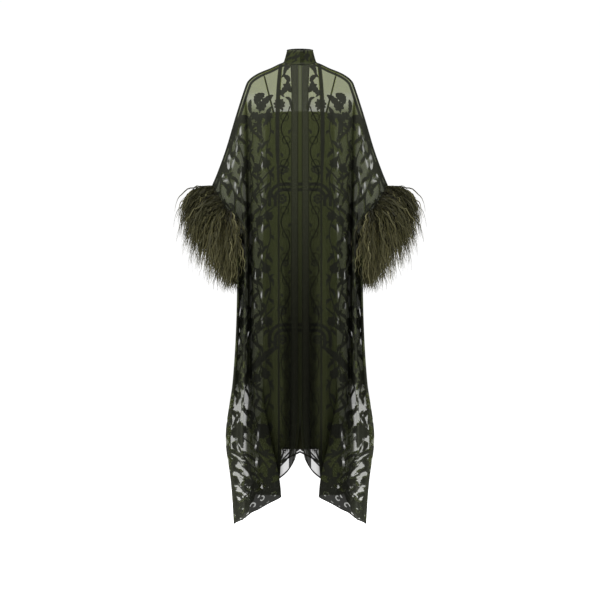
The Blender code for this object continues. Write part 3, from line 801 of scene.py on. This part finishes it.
def grid_piece(name, grid, flip, material, values, node, measures=()):
    """A piece from a grid of points, with its measures in metres as its map."""
    faces = grid_faces(*grid.shape[:2], flip)
    obj = new_piece(name, grid.reshape(-1, 3), faces, material, values, node)
    if measures:
        layer = obj.data.uv_layers.new(name="cut")
        both = np.stack([measure.ravel()[faces.ravel()] for measure in measures], axis=1)
        layer.data.foreach_set("uv", both.astype(np.float32).ravel())
    return obj


def tube(points, radius, sides=6):
    """Points and faces of a tube along a line."""
    points = np.asarray(points, float)
    along = unit(np.gradient(points, axis=0))
    side = unit(np.cross(along, np.where(np.abs(along[:, 2:3]) > 0.9, (1.0, 0, 0), (0, 0, 1.0))))
    up = np.cross(side, along)
    turns = (np.arange(sides) * 2 * np.pi / sides)[None, :, None]
    ring = points[:, None] + radius * np.cos(turns) * side[:, None]
    ring = ring + radius * np.sin(turns) * up[:, None]
    i = np.arange(len(points) - 1)[:, None] * sides
    j = np.arange(sides)
    k = (j + 1) % sides
    quads = np.stack([i + j, i + k, i + sides + k, i + sides + j], axis=-1).reshape(-1, 4)
    return ring.reshape(-1, 3), quads


# Materials


def put(place, value):
    """Sets a socket to a number or a colour, or wires a field to it."""
    if isinstance(value, Field):
        value.tree.links.new(value.socket, place)
    else:
        place.default_value = (*value, 1) if isinstance(value, tuple) else value


class Field:
    """A value in a material that can be reckoned with like a number."""

    def __init__(self, tree, socket):
        self.tree = tree
        self.socket = socket

    def of(self, operation, *others, clamp=False):
        node = self.tree.nodes.new("ShaderNodeMath")
        node.operation = operation
        node.use_clamp = clamp
        for place, value in zip(node.inputs, (self, *others)):
            put(place, value)
        return Field(self.tree, node.outputs[0])

    def __add__(self, other):
        return self.of("ADD", other)

    def __sub__(self, other):
        return self.of("SUBTRACT", other)

    def __mul__(self, other):
        return self.of("MULTIPLY", other)

    def limited(self, factor, more):
        """The value times a factor plus more, kept between 0 and 1."""
        return self.of("MULTIPLY_ADD", factor, more, clamp=True)

    def size(self):
        return self.of("ABSOLUTE")

    def far(self, other):
        return (self * self + other * other).of("SQRT")


class Surface:
    """A new material, and the nodes that it is made of."""

    def __init__(self, name):
        self.material = bpy.data.materials.new(name)
        self.material.use_nodes = True
        self.tree = self.material.node_tree

    def node(self, kind, output, *inputs, **settings):
        """An output of a new node with these settings and inputs."""
        node = self.tree.nodes.new("ShaderNode" + kind)
        for name, value in settings.items():
            setattr(node, name, value)
        for name, value in inputs:
            put(node.inputs[name], value)
        return Field(self.tree, node.outputs[output])

    def finish(self, colour, roughness, **others):
        """Gives the shader its inputs, and gives back the finished material."""
        for name, value in {"Base Color": colour, "Roughness": roughness, **others}.items():
            put(self.tree.nodes["Principled BSDF"].inputs[name.replace("_", " ")], value)
        return self.material

    def attribute(self, name):
        return self.node("Attribute", "Fac", attribute_name=name)

    def cut(self):
        """The cloth's own measures, for a texture."""
        return "Vector", self.node("UVMap", "UV", uv_map="cut")

    def place(self):
        """The place in the object, for a texture."""
        return "Vector", self.node("TexCoord", "Object")

    def noise(self, scale, *inputs):
        return self.node("TexNoise", "Fac", ("Scale", scale), *inputs)

    def wave(self, direction, scale, *inputs):
        return self.node("TexWave", "Fac", ("Scale", scale), *inputs, bands_direction=direction)

    def mix(self, factor, a, b):
        """A colour between two colours."""
        return self.node("Mix", "Result", ("Factor", factor), ("A", a), ("B", b), data_type="RGBA")

    def shades(self, factor, colour, low, high):
        """A colour that goes from low to high times its own brightness."""
        return self.mix(factor, scaled(colour, low), scaled(colour, high))

    def darkened(self, colour, factor):
        """A colour times a field."""
        return self.node("VectorMath", 0, (0, colour), ("Scale", factor), operation="SCALE")

    def bump(self, height, strength, distance):
        """The direction that a raised surface faces."""
        inputs = (("Height", height), ("Strength", strength), ("Distance", distance))
        return self.node("Bump", "Normal", *inputs)


def scaled(colour, factor):
    return tuple(c * factor for c in colour)


def fine_lines(cloth):
    """Distances in metres to the thin scrolls and curls, and to the stripes and borders."""
    u = cloth.attribute("drawn")
    z = cloth.attribute("height")
    low = (z * -1 + CROSSINGS[0] + 0.16).of("MULTIPLY", 1 / 0.18).of("MAXIMUM", 0.0).of("MINIMUM", 1.0)
    wide = (u - STRIPE[0] + low * 0.005).size() - 0.0080 + low * 0.0048
    turn = (z - CROSSINGS[0]) * (math.pi / BORDER_REPEAT)
    wave = (u - SCROLL_AXIS - turn.of("SINE") * SCROLL_SWAY).size() * 0.78 - 0.0019
    ends = (z - SLIP_TOP - 0.02).of("MAXIMUM", z * -1 - 1.45)
    thin = wave.of("MAXIMUM", ends)
    for shift, side in ((0.25, 1), (0.75, -1)):
        rise = z - CROSSINGS[0] + (shift + 0.25) * 2 * BORDER_REPEAT
        rise = rise.of("WRAP", BORDER_REPEAT, -BORDER_REPEAT)
        ring = ((u - SCROLL_AXIS - side * 0.0030).far(rise) - CURL_RADIUS).size() - RING
        thin = thin.of("MINIMUM", ring.of("MAXIMUM", ends))
    for height in CROSSINGS:
        aside, above = u - 0.064, z - height + 0.042
        outside = aside.of("MAXIMUM", 0.0).far(above.of("MAXIMUM", 0.0))
        inside = aside.of("MAXIMUM", above).of("MINIMUM", 0.0)
        path = ((outside + inside - 0.042).size() - 0.0108).size() - 0.0064
        wide = wide.of("MINIMUM", path.of("MAXIMUM", z * -1 + height - 0.075))
    return thin, wide


def sheer_material(name, motif_alpha):
    """Sheer cloth: thin where the pattern is burnt away, dense inside it."""
    cloth = Surface(name)
    cut = cloth.cut()
    across, down = (cloth.wave(way, WEAVE_SCALE, ("Distortion", WEAVE_WAVER), cut) for way in "XY")
    threads = across * down
    fuzz = (cloth.noise(FUZZ_SCALE, ("Detail", 3), cut) - 0.5) * 1.2
    thin, wide = (distance * 1000 for distance in fine_lines(cloth))
    motifs = cloth.attribute("motif").of("MINIMUM", thin).of("MINIMUM", wide)
    inside = (motifs + fuzz).limited(-0.8, 0.5)
    specks = cloth.noise(SPECKLE_SCALE, cut).limited(3.0, -1.0)
    dense = cloth.shades(cloth.noise(CLOUD_SCALE, cut), MOTIF, 0.70, 1.15)
    dense = cloth.mix(specks, scaled(MOTIF, 0.65), dense)
    dense = cloth.mix(thin.limited(-0.9, 0.5), dense, scaled(MOTIF, 0.35))
    # painted backlight: the thin ground turns to the colour LIT at the shoulders
    thin_ground = cloth.mix(cloth.attribute("painted_backlight"), cloth.shades(threads, GROUND, 0.85, 1.15), LIT)
    colour = cloth.mix(inside, thin_ground, dense)
    veil = cloth.attribute("veil").of("ADD", (threads - 0.25) * 0.10, clamp=True)
    # painted shade and light: the shade attribute darkens or lightens the colour
    colour = cloth.darkened(colour, cloth.attribute("shade"))
    alpha = inside.limited(veil * -1 + motif_alpha, veil)
    normal = cloth.bump(threads.limited(0.4, inside), 0.35, 0.0004)
    roughness = inside.limited(0.18, 0.70)
    return cloth.finish(colour, roughness, Specular_IOR_Level=CLOTH_GLOSS, Alpha=alpha, Normal=normal)


def band_material():
    """The bound centre bands: fine upright ribs with a darker edge on each side."""
    band = Surface("bands")
    ribs = band.wave("X", RIB_SCALE, band.cut())
    edge = band.attribute("edge")
    colour = band.mix(edge, band.shades(ribs, BAND, 0.80, 1.20), scaled(BAND, 0.55))
    colour = band.darkened(colour, band.attribute("shade"))
    alpha, normal = edge.limited(0.05, 0.93), band.bump(ribs, 0.3, 0.0003)
    return band.finish(colour, 0.75, Specular_IOR_Level=CLOTH_GLOSS, Alpha=alpha, Normal=normal)


def slip_material():
    """Opaque crepe with a soft sheen, painted darker towards the hem as shade."""
    slip = Surface("slip_crepe")
    place = slip.place()
    # painted shade: the slip goes to its darker hem colour lower down
    low = slip.node("SeparateXYZ", "Z", place).limited(-1.05, -0.30)
    grain = slip.noise(CREPE_SCALE, place)
    colour = slip.mix(low, slip.shades(grain, SLIP, 0.85, 1.15), SLIP_HEM_SHADE)
    return slip.finish(colour, 0.55, Specular_IOR_Level=0.05, Normal=slip.bump(grain, 0.2, 0.0003))


def feather_material():
    """Feather fronds, near black at the root and tan at the tip."""
    feather = Surface("feather_fronds")
    ramp = feather.tree.nodes.new("ShaderNodeValToRGB")
    put(ramp.inputs["Fac"], feather.attribute("tint"))
    stops = ramp.color_ramp.elements
    stops.remove(stops[1])
    for place, colour in FRINGE_RAMP:
        stop = stops[0] if place == 0 else stops.new(place)
        stop.color = (*colour, 1)
    return feather.finish(Field(feather.tree, ramp.outputs["Color"]), 0.60, Specular_IOR_Level=0.20)


def plain_cloth(name, colour):
    """A small plain binding with a fine mottle."""
    cloth = Surface(name)
    mottle = cloth.noise(MOTTLE_SCALE, cloth.place())
    return cloth.finish(cloth.shades(mottle, colour, 0.75, 1.25), 0.7, Specular_IOR_Level=CLOTH_GLOSS)


sheer = sheer_material("sheer_cloth", 0.985)
dense = sheer_material("collar_cloth", 0.99)
bands = band_material()
crepe = slip_material()
fronds = feather_material()
binding = plain_cloth("rolled_hem", BINDING)


# The kaftan's own pieces


def ripples(face, station, height):
    """Soft folds that fade out at the seams: how far the cloth moves along its normal."""
    skirt = smooth(-0.25, -1.2, height)
    fade = smooth(0, 0.8, station) * smooth(10, 9.4, station)
    phase = 0.0 if face == "front" else 1.7
    body = np.sin(station * 3.1 + 0.8 * np.sin(height * 2.3) + phase) * BODY_RIPPLE
    fine = np.sin(station * 7.4 + 1.3 * np.sin(height * 3.1 + 1) + phase * 2) * FINE_RIPPLE
    return (body + fine) * fade * (0.25 + 0.75 * skirt)


def drawn_across(station, height):
    """The measure across that the pattern is drawn on. The depth of the folds counts for less."""
    out = hanging("front", OUT, station, height)
    depth = hanging("front", DEPTH, station, height)
    flat = np.stack([out, FOLD_SHARE * depth], axis=-1)
    return lengths(flat, 1)


def rippled(face, side, station, share, raised=0.0):
    """The grid of the cloth with its soft folds, and its measures before them."""
    out, depth, height = cloth(face, station, share)
    facing = -1 if face == "front" else 1
    grid = np.stack([side * out, facing * depth, height], axis=-1)
    normals = grid_normals(grid, (0, facing, 0))
    across, along = lengths(grid, 1), lengths(grid, 0)
    rise = ripples(face, station, height) * smooth(0, SEAM_EASE, along)
    if raised:
        rise = rise + raised - BAND_EDGE_DROP * smooth(0.004, 0.0, from_edge(across))
    return grid + normals * rise[..., None], across, along, height


def from_edge(across):
    """Distance to the nearer side edge of a strip."""
    return np.minimum(across, across[:, -1:] - across)


def panel(face, side, rows, columns):
    """Half a panel: its points, its measures and what its material needs at each point."""
    station, share = np.meshgrid(even_stations(face, columns), np.linspace(0, 1, rows) ** 1.1)
    grid, across, along, height = rippled(face, side, station, share)
    drawn = drawn_across(station, height)
    to_hem, to_side = along[-1:] - along, drawn[:, -1:] - drawn
    distance = pattern(face, drawn, height, rim_distance(grid), to_hem, to_side)
    veil, shade, painted_backlight = veil_and_light(face, station, drawn, height)
    distance, veil = open_gaps(grid, distance, veil)
    # painted shadow: a dark line on the front where the slip's strap shows through
    if face == "front":
        distance = np.minimum(distance, painted_strap_shade(grid))
    return grid, across, along, distance, veil, shade, painted_backlight, drawn, height


def cloth_piece(name, measures, flip, material, node):
    """A sheet of the sheer cloth with its pattern."""
    grid, across, along = measures[:3]
    values = dict(zip(("motif", "veil", "shade", "painted_backlight", "drawn", "height"), measures[3:]))
    return grid_piece(name, grid, flip, material, values, node, measures=(across, along))


def make_panels():
    for side, name in SIDES:
        measures = panel("front", side, FRONT_ROWS, FRONT_COLUMNS)
        grid = measures[0]
        obj = cloth_piece(f"sheer_front_{name}", measures, side < 0, sheer, f"front_{name}")
        edge = np.concatenate([grid[int(FRONT_ROWS * VENT_SHARE) :, 0], grid[-1, 1:]])
        hem = make_hem(f"hem_front_{name}", edge)
        seam = make_hem(f"seam_{name}", shoulder_seam(side))
    right, left = (panel("back", side, BACK_ROWS, BACK_COLUMNS) for side in (-1, 1))
    measures = [np.concatenate([a[:, :0:-1], b], axis=1) for a, b in zip(right, left)]
    obj = cloth_piece("sheer_back", measures, True, sheer, "back")
    hem = make_hem("hem_back", measures[0][-1])


def shoulder_seam(side):
    """The line where the panels meet, from the collar over the arm to the cuff."""
    out, depth, height = top_edge("front", np.linspace(2.0, 10.0, 60))
    return np.stack([side * out, -depth, height - 0.0006], axis=1)


def make_hem(name, line):
    """A rolled hem along a line."""
    points, faces = tube(line, HEM_RADIUS)
    return new_piece(name, points, faces, binding)


def make_bands():
    """The centre bands, a little proud of the front, with bound edges."""
    shares = np.linspace(0, 1, BAND_ROWS) ** 1.1
    station, share = np.meshgrid(np.linspace(0.17, 0.74, BAND_COLUMNS), shares)
    for side, name in SIDES:
        grid, across, along, height = rippled("front", side, station, share, BAND_PROUD)
        edge = smooth(0.0045, 0.0025, from_edge(across))
        values = {"edge": edge, "shade": light_fall(height, across)}
        names = (f"band_{name}", f"placket_{name}")
        obj = grid_piece(names[0], grid, side < 0, bands, values, names[1], (across, along))


def collar_grid():
    """Rows of points from the neck edge of the panels up to the collar's top edge."""
    turns = np.linspace(0, 2 * np.pi, COLLAR_TURNS)
    front = np.cos(turns) > 0
    station = np.arcsin(np.clip(np.abs(np.sin(turns)), 0, 1)) * 4 / np.pi
    sign = np.sign(np.sin(turns))
    rings = []
    for face, facing in (("front", -1), ("back", 1)):
        out, depth, height = top_edge(face, np.minimum(station, 1.9999))
        rings.append(np.stack([sign * out, facing * depth, height], axis=1))
    ring = np.where(front[:, None], *rings)
    base = ring - unit(ring * (1, 1, 0)) * 0.0016
    base[:, 2] -= 0.001
    deep = np.where(front, COLLAR_TOP_FRONT / NECK_FRONT, COLLAR_TOP_BACK / NECK_BACK)
    narrow = np.stack([np.full(len(ring), COLLAR_TOP_HALF_WIDTH / NECK_HALF_WIDTH), deep], axis=1)
    rows = []
    for share in np.linspace(0, 1, COLLAR_ROWS):
        row = base.copy()
        row[:, :2] *= 1 + (narrow - 1) * share**COLLAR_FLARE
        row[:, 2] += (COLLAR_TOP - base[:, 2]) * share
        rows.append(row)
    return np.array(rows)


def make_collar():
    """The stand collar, in dense lace with a stripe along its foot and its top."""
    grid = collar_grid()
    across, along = lengths(grid, 1), lengths(grid, 0)
    chart = Chart(across, along)
    total = float(across[0, -1])
    rng = np.random.default_rng(5)
    for u in np.arange(0.0, total, 0.0060):
        tilt, size = rng.uniform(0.4, 2.7), rng.uniform(0.7, 1.2)
        height, bend = rng.uniform(0.004, 0.048), rng.uniform(-0.2, 0.2)
        chart.leaf(u, height, tilt, 0.022 * size, 0.0046 * size, bend, SMALL_LEAF_LOBES)
    for u in np.arange(0.030, total, 0.052):
        chart.flower(u, 0.030 + rng.uniform(-0.008, 0.008), 0.0120, 7, rng.uniform(0, 6))
    chart.add(chart.everywhere, np.abs(chart.z - 0.002) - 0.0025)
    chart.add(chart.everywhere, float(along.max()) - 0.006 - chart.z)
    whole = np.ones(chart.shape)
    from_front = np.minimum(across, total - across)
    # painted shade at the centre front of the collar, and a painted highlight on each side of it
    shade = 0.66 - 0.34 * smooth(0.022, 0.010, from_front) + 0.06 * smooth(0.016, 0.026, from_front)
    measures = (grid, across, along, chart.result(), whole * 0.97, shade, whole * 0, whole, whole)
    obj = cloth_piece("stand_collar", measures, False, dense, "collar")
    edge = make_hem("collar_edge", grid[-1])


def make_slip():
    """The slip's front and back, with soft upright folds that deepen towards the hem."""
    shares = np.sin(np.linspace(-1, 1, 101) * np.pi / 2)
    shares = np.unique(np.concatenate([shares, [-0.54, -0.5, 0.5, 0.54]]))
    share, down = np.meshgrid(shares, np.linspace(0, 1, SLIP_ROWS))
    flat = SLIP_FLAT_TOP_HALF / SLIP_SECTIONS[0, 1]
    slope = np.clip((np.abs(share) - flat) / (1 - flat), 0, 1)
    drop = np.interp(np.abs(share), SLIP_DROPS[:, 0], SLIP_DROPS[:, 1])
    for face, facing, top, column in (("front", -1, SLIP_TOP, 2), ("back", 1, SLIP_BACK_TOP, 3)):
        edge = top + (SLIP_SIDE_TOP - top) * slope**1.5
        height = edge + (SLIP_HEM - drop - edge) * down
        sections = spline(-SLIP_SECTIONS[:, 0], SLIP_SECTIONS, -height)
        fold = np.sin(share * 13 + 1.2 * np.sin(height * 2)) * SLIP_FOLD * smooth(-0.5, -1.4, height)
        depth = (sections[..., column] + fold) * np.sqrt(np.maximum(0, 1 - share**2)) + 0.00015
        grid = np.stack([sections[..., 1] * share, facing * depth - SLIP_AXIS, height], axis=-1)
        obj = grid_piece(f"slip_cloth_{face}", grid, facing > 0, crepe, {}, f"slip_{face}")
        hem = make_slip_edge(f"slip_edge_{face}", grid)


def make_slip_edge(name, grid):
    """The narrow bound edges at the slip's top and hem."""
    (top, top_faces), (low, low_faces) = (tube(line, SLIP_EDGE_RADIUS) for line in (grid[0], grid[-1]))
    faces = np.concatenate([top_faces, low_faces + len(top)])
    return new_piece(name, np.concatenate([top, low]), faces, crepe)


# The feather cuffs


def cuff_point(share, facing):
    """Points of the cuff's edge. share runs down it, and facing is -1 in front and 1 behind."""
    height = CUFF_TOP + (CUFF_BOTTOM - CUFF_TOP) * share
    edge = np.full(share.shape, 10.0)
    out = hanging("front", OUT, edge, height)
    start = hanging("front", OUT, edge, np.full(share.shape, CUFF_TOP))
    settled = np.minimum(1, (CUFF_TOP - height) / SETTLING_DROP)
    out = out + (SHOULDER_LINE[-1, 0] - start) * (1 - settled) ** 2
    return np.stack([out, facing * cuff_depth(height), height], axis=1)


def cuff_frame():
    """The cuff's edge as a loop, the way it faces, and the way each of its points faces."""
    turn = np.arange(CUFF_POINTS) / CUFF_POINTS
    share = (1 - np.cos(2 * np.pi * turn)) / 2
    loop = cuff_point(share, np.where(turn <= 0.5, -1, 1))
    slant = loop[CUFF_POINTS // 2] - loop[0]
    axis = unit(np.array([-slant[2], 0.0, slant[0]]))
    radial = loop - loop.mean(axis=0)
    radial = unit(radial - (radial @ axis)[:, None] * axis)
    return loop, axis, radial


def make_feathers(side, name):
    """Fronds in tapering locks that spring from the cuff's backing, spread and droop."""
    rng = np.random.default_rng(11)
    loop, axis, radial = cuff_frame()
    weight = np.linalg.norm(np.roll(loop, -1, axis=0) - loop, axis=1) + 0.0012
    weight = weight * np.where(loop[:, 1] < 0.002, 1.25, 0.75)
    roots = rng.choice(CUFF_POINTS, LOCKS, p=weight / weight.sum())
    paths, tints = [], []
    for where in roots:
        root = loop[where] + axis * rng.uniform(-0.002, 0.018)
        down = (CUFF_TOP - root[2]) / (CUFF_TOP - CUFF_BOTTOM)
        lift = rng.uniform(0.02, 0.40) * (0.55 if radial[where, 2] > 0 else 0.50)
        spread = rng.uniform(0.15, 0.80) if radial[where, 1] < 0 else rng.uniform(0.10, 0.52)
        outer = abs(radial[where, 1]) > 0.6
        ahead = rng.uniform(-0.08, 1.15) if outer else rng.uniform(0.45, 1.20)
        ahead = ahead * (1 - 0.70 * down**2) if ahead > 0 else ahead
        start = radial[where] * (lift, spread, lift) + axis * ahead
        start[2] -= 0.02 + 0.36 * down
        fullness = 1.10 + 0.46 * math.sin(math.pi * down) - 0.36 * down**2
        length = FEATHER_LENGTH * fullness * rng.uniform(0.70, 1.03) * (1 + 0.55 * min(0, ahead))
        heading = unit(unit(start) + rng.normal(0, 0.20, (STRANDS, 3)))
        paths.append(lock_paths(rng, root, heading, length * rng.uniform(0.55, 1.06, STRANDS)))
        tone = rng.normal(0.37, 0.11) + rng.normal(0, 0.15, STRANDS)
        tints.append(tone[:, None] + 0.34 * (np.linspace(0, 1, STRAND_STEPS + 1) - 0.45))
    path, tint = np.concatenate(paths), np.concatenate(tints)
    path[..., 0] *= side
    path[..., 1] = FEATHER_DEPTH * np.tanh(path[..., 1] / FEATHER_DEPTH)
    points, faces = ribbons(path, rng.uniform(0.0017, 0.0029, len(path)), rng)
    tint = np.repeat(np.clip(tint, 0, 1), 2, axis=1)
    new_piece(f"feathers_{name}", points, faces, fronds, {"tint": tint}, f"cuff_{name}")
    tape_points, tape_faces = make_tape(loop, axis, radial)
    tape_points[:, 0] *= side
    new_piece(f"feather_tape_{name}", tape_points, tape_faces, binding)


def lock_paths(rng, root, heading, reach):
    """The middle lines of a lock's strands, which droop and curl."""
    count = len(heading)
    droop = rng.uniform(0.95, 1.45, count)
    here = root + rng.normal(0, 0.003, (count, 3))
    first = unit(np.cross(heading, rng.normal(0, 1, (count, 3))))
    second = np.cross(heading, first)
    waves = rng.uniform(2.0, 4.6, count)
    phase = rng.uniform(0, 2 * np.pi, count)
    swing = rng.uniform(0.0020, 0.0062, count)
    path = [here]
    for step in range(STRAND_STEPS):
        bend = (step + 0.5) / STRAND_STEPS
        way = heading * (1 - bend) ** 0.8 + np.array([0, 0, -1.0]) * (bend * droop)[:, None]
        here = here + unit(way) * (reach / STRAND_STEPS)[:, None]
        turn = waves * 2 * np.pi * bend + phase
        grow = (swing * min(1, bend * 3))[:, None]
        path.append(here + grow * (np.cos(turn)[:, None] * first + np.sin(turn)[:, None] * second))
    return np.stack(path, axis=1)


def make_tape(loop, axis, radial):
    """The narrow backing that the feathers are sewn into."""
    near, far = (TAPE_NEAR, TAPE_HALF), (TAPE_FAR, TAPE_HALF)
    corners = (near, far, (TAPE_FAR, -TAPE_HALF), (TAPE_NEAR, -TAPE_HALF), near)
    grid = np.stack([loop + axis * along + radial * out for along, out in corners])
    grid = np.concatenate([grid, grid[:, :1]], axis=1)
    return grid.reshape(-1, 3), grid_faces(*grid.shape[:2])


def ribbons(path, half_width, rng):
    """Thin tapering fronds along many paths at once, each a narrow ribbon."""
    count, n = path.shape[:2]
    along = unit(np.gradient(path, axis=1))
    flat = unit(rng.normal(0, 1, (count, 1, 3)))
    side = unit(np.cross(along, flat))
    t = np.linspace(0, 1, n)
    taper = (0.50 + 0.50 * np.sin(np.pi * np.minimum(t * 1.25, 1)) ** 0.6) * (1 - 0.70 * t**3)
    edge = side * (half_width[:, None] * taper)[..., None]
    points = np.stack([path + edge, path - edge], axis=2)
    strand = np.arange(count)[:, None] * n * 2
    step = np.arange(n - 1)[None, :] * 2
    corner = (strand + step).reshape(-1)
    quads = np.stack([corner, corner + 1, corner + 3, corner + 2], axis=1)
    return points.reshape(-1, 3), quads


# The stage


def lit_world():
    """Plain white behind the garment, and softer light from all round on it."""
    world = bpy.data.worlds.new("studio")
    world.use_nodes = True
    nodes, wires = world.node_tree.nodes, world.node_tree.links
    seen = nodes["Background"]
    seen.inputs["Color"].default_value = (1, 1, 1, 1)
    seen.inputs["Strength"].default_value = 1.02
    around = nodes.new("ShaderNodeBackground")
    around.inputs["Strength"].default_value = AROUND
    path = nodes.new("ShaderNodeLightPath")
    mix = nodes.new("ShaderNodeMixShader")
    wires.new(path.outputs["Is Camera Ray"], mix.inputs["Fac"])
    wires.new(around.outputs["Background"], mix.inputs[1])
    wires.new(seen.outputs["Background"], mix.inputs[2])
    wires.new(mix.outputs["Shader"], nodes["World Output"].inputs["Surface"])
    return world


def placed(name, data, place):
    """A light, a camera or a mesh as an object of the scene."""
    obj = bpy.data.objects.new(name, data)
    obj.location = place
    bpy.context.scene.collection.objects.link(obj)
    return obj


def make_floor():
    """A pale floor far below the hem."""
    mesh = bpy.data.meshes.new("floor")
    mesh.from_pydata([(-16, -16, 0), (16, -16, 0), (16, 16, 0), (-16, 16, 0)], [], [(0, 1, 2, 3)])
    pale = Surface("floor_pale")
    mottle = pale.mix(pale.noise(6), (0.94, 0.94, 0.94), (0.96, 0.96, 0.96))
    mesh.materials.append(pale.finish(mottle, 0.9, Emission_Color=mottle, Emission_Strength=0.80))
    floor = placed("floor", mesh, (0, 0, FLOOR))


def make_stage():
    """The world, the floor, the lights and a camera square to the front."""
    scene = bpy.context.scene
    scene.view_settings.view_transform = "Standard"
    scene.world = lit_world()
    make_floor()
    for name, place, power, size in LIGHTS:
        data = bpy.data.lights.new(name, "AREA")
        data.energy = power
        data.size = size
        aim = Vector((0, 0, -0.8)) - Vector(place)
        placed(name, data, place).rotation_euler = aim.to_track_quat("-Z", "Y").to_euler()
    data = bpy.data.cameras.new("camera")
    data.sensor_width = SENSOR_WIDTH
    data.lens = CAMERA_DISTANCE * SENSOR_WIDTH / (PICTURE_WIDTH * METRES_PER_PIXEL)
    height = (ORIGIN_ROW - PICTURE_WIDTH / 2) * METRES_PER_PIXEL
    scene.camera = placed("camera", data, (0.0, -CAMERA_DISTANCE, height))
    scene.camera.rotation_euler = (math.pi / 2, 0, 0)


def finish_straps():
    """The straps stay as the source's solids, in the binding's cloth."""
    for name in STRAPS:
        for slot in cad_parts[name].material_slots:
            slot.material = binding


make_panels()
make_bands()
make_collar()
make_slip()
for side, name in SIDES:
    make_feathers(side, name)
finish_straps()
make_stage()
bpy.context.scene.cycles.transparent_max_bounces = 32
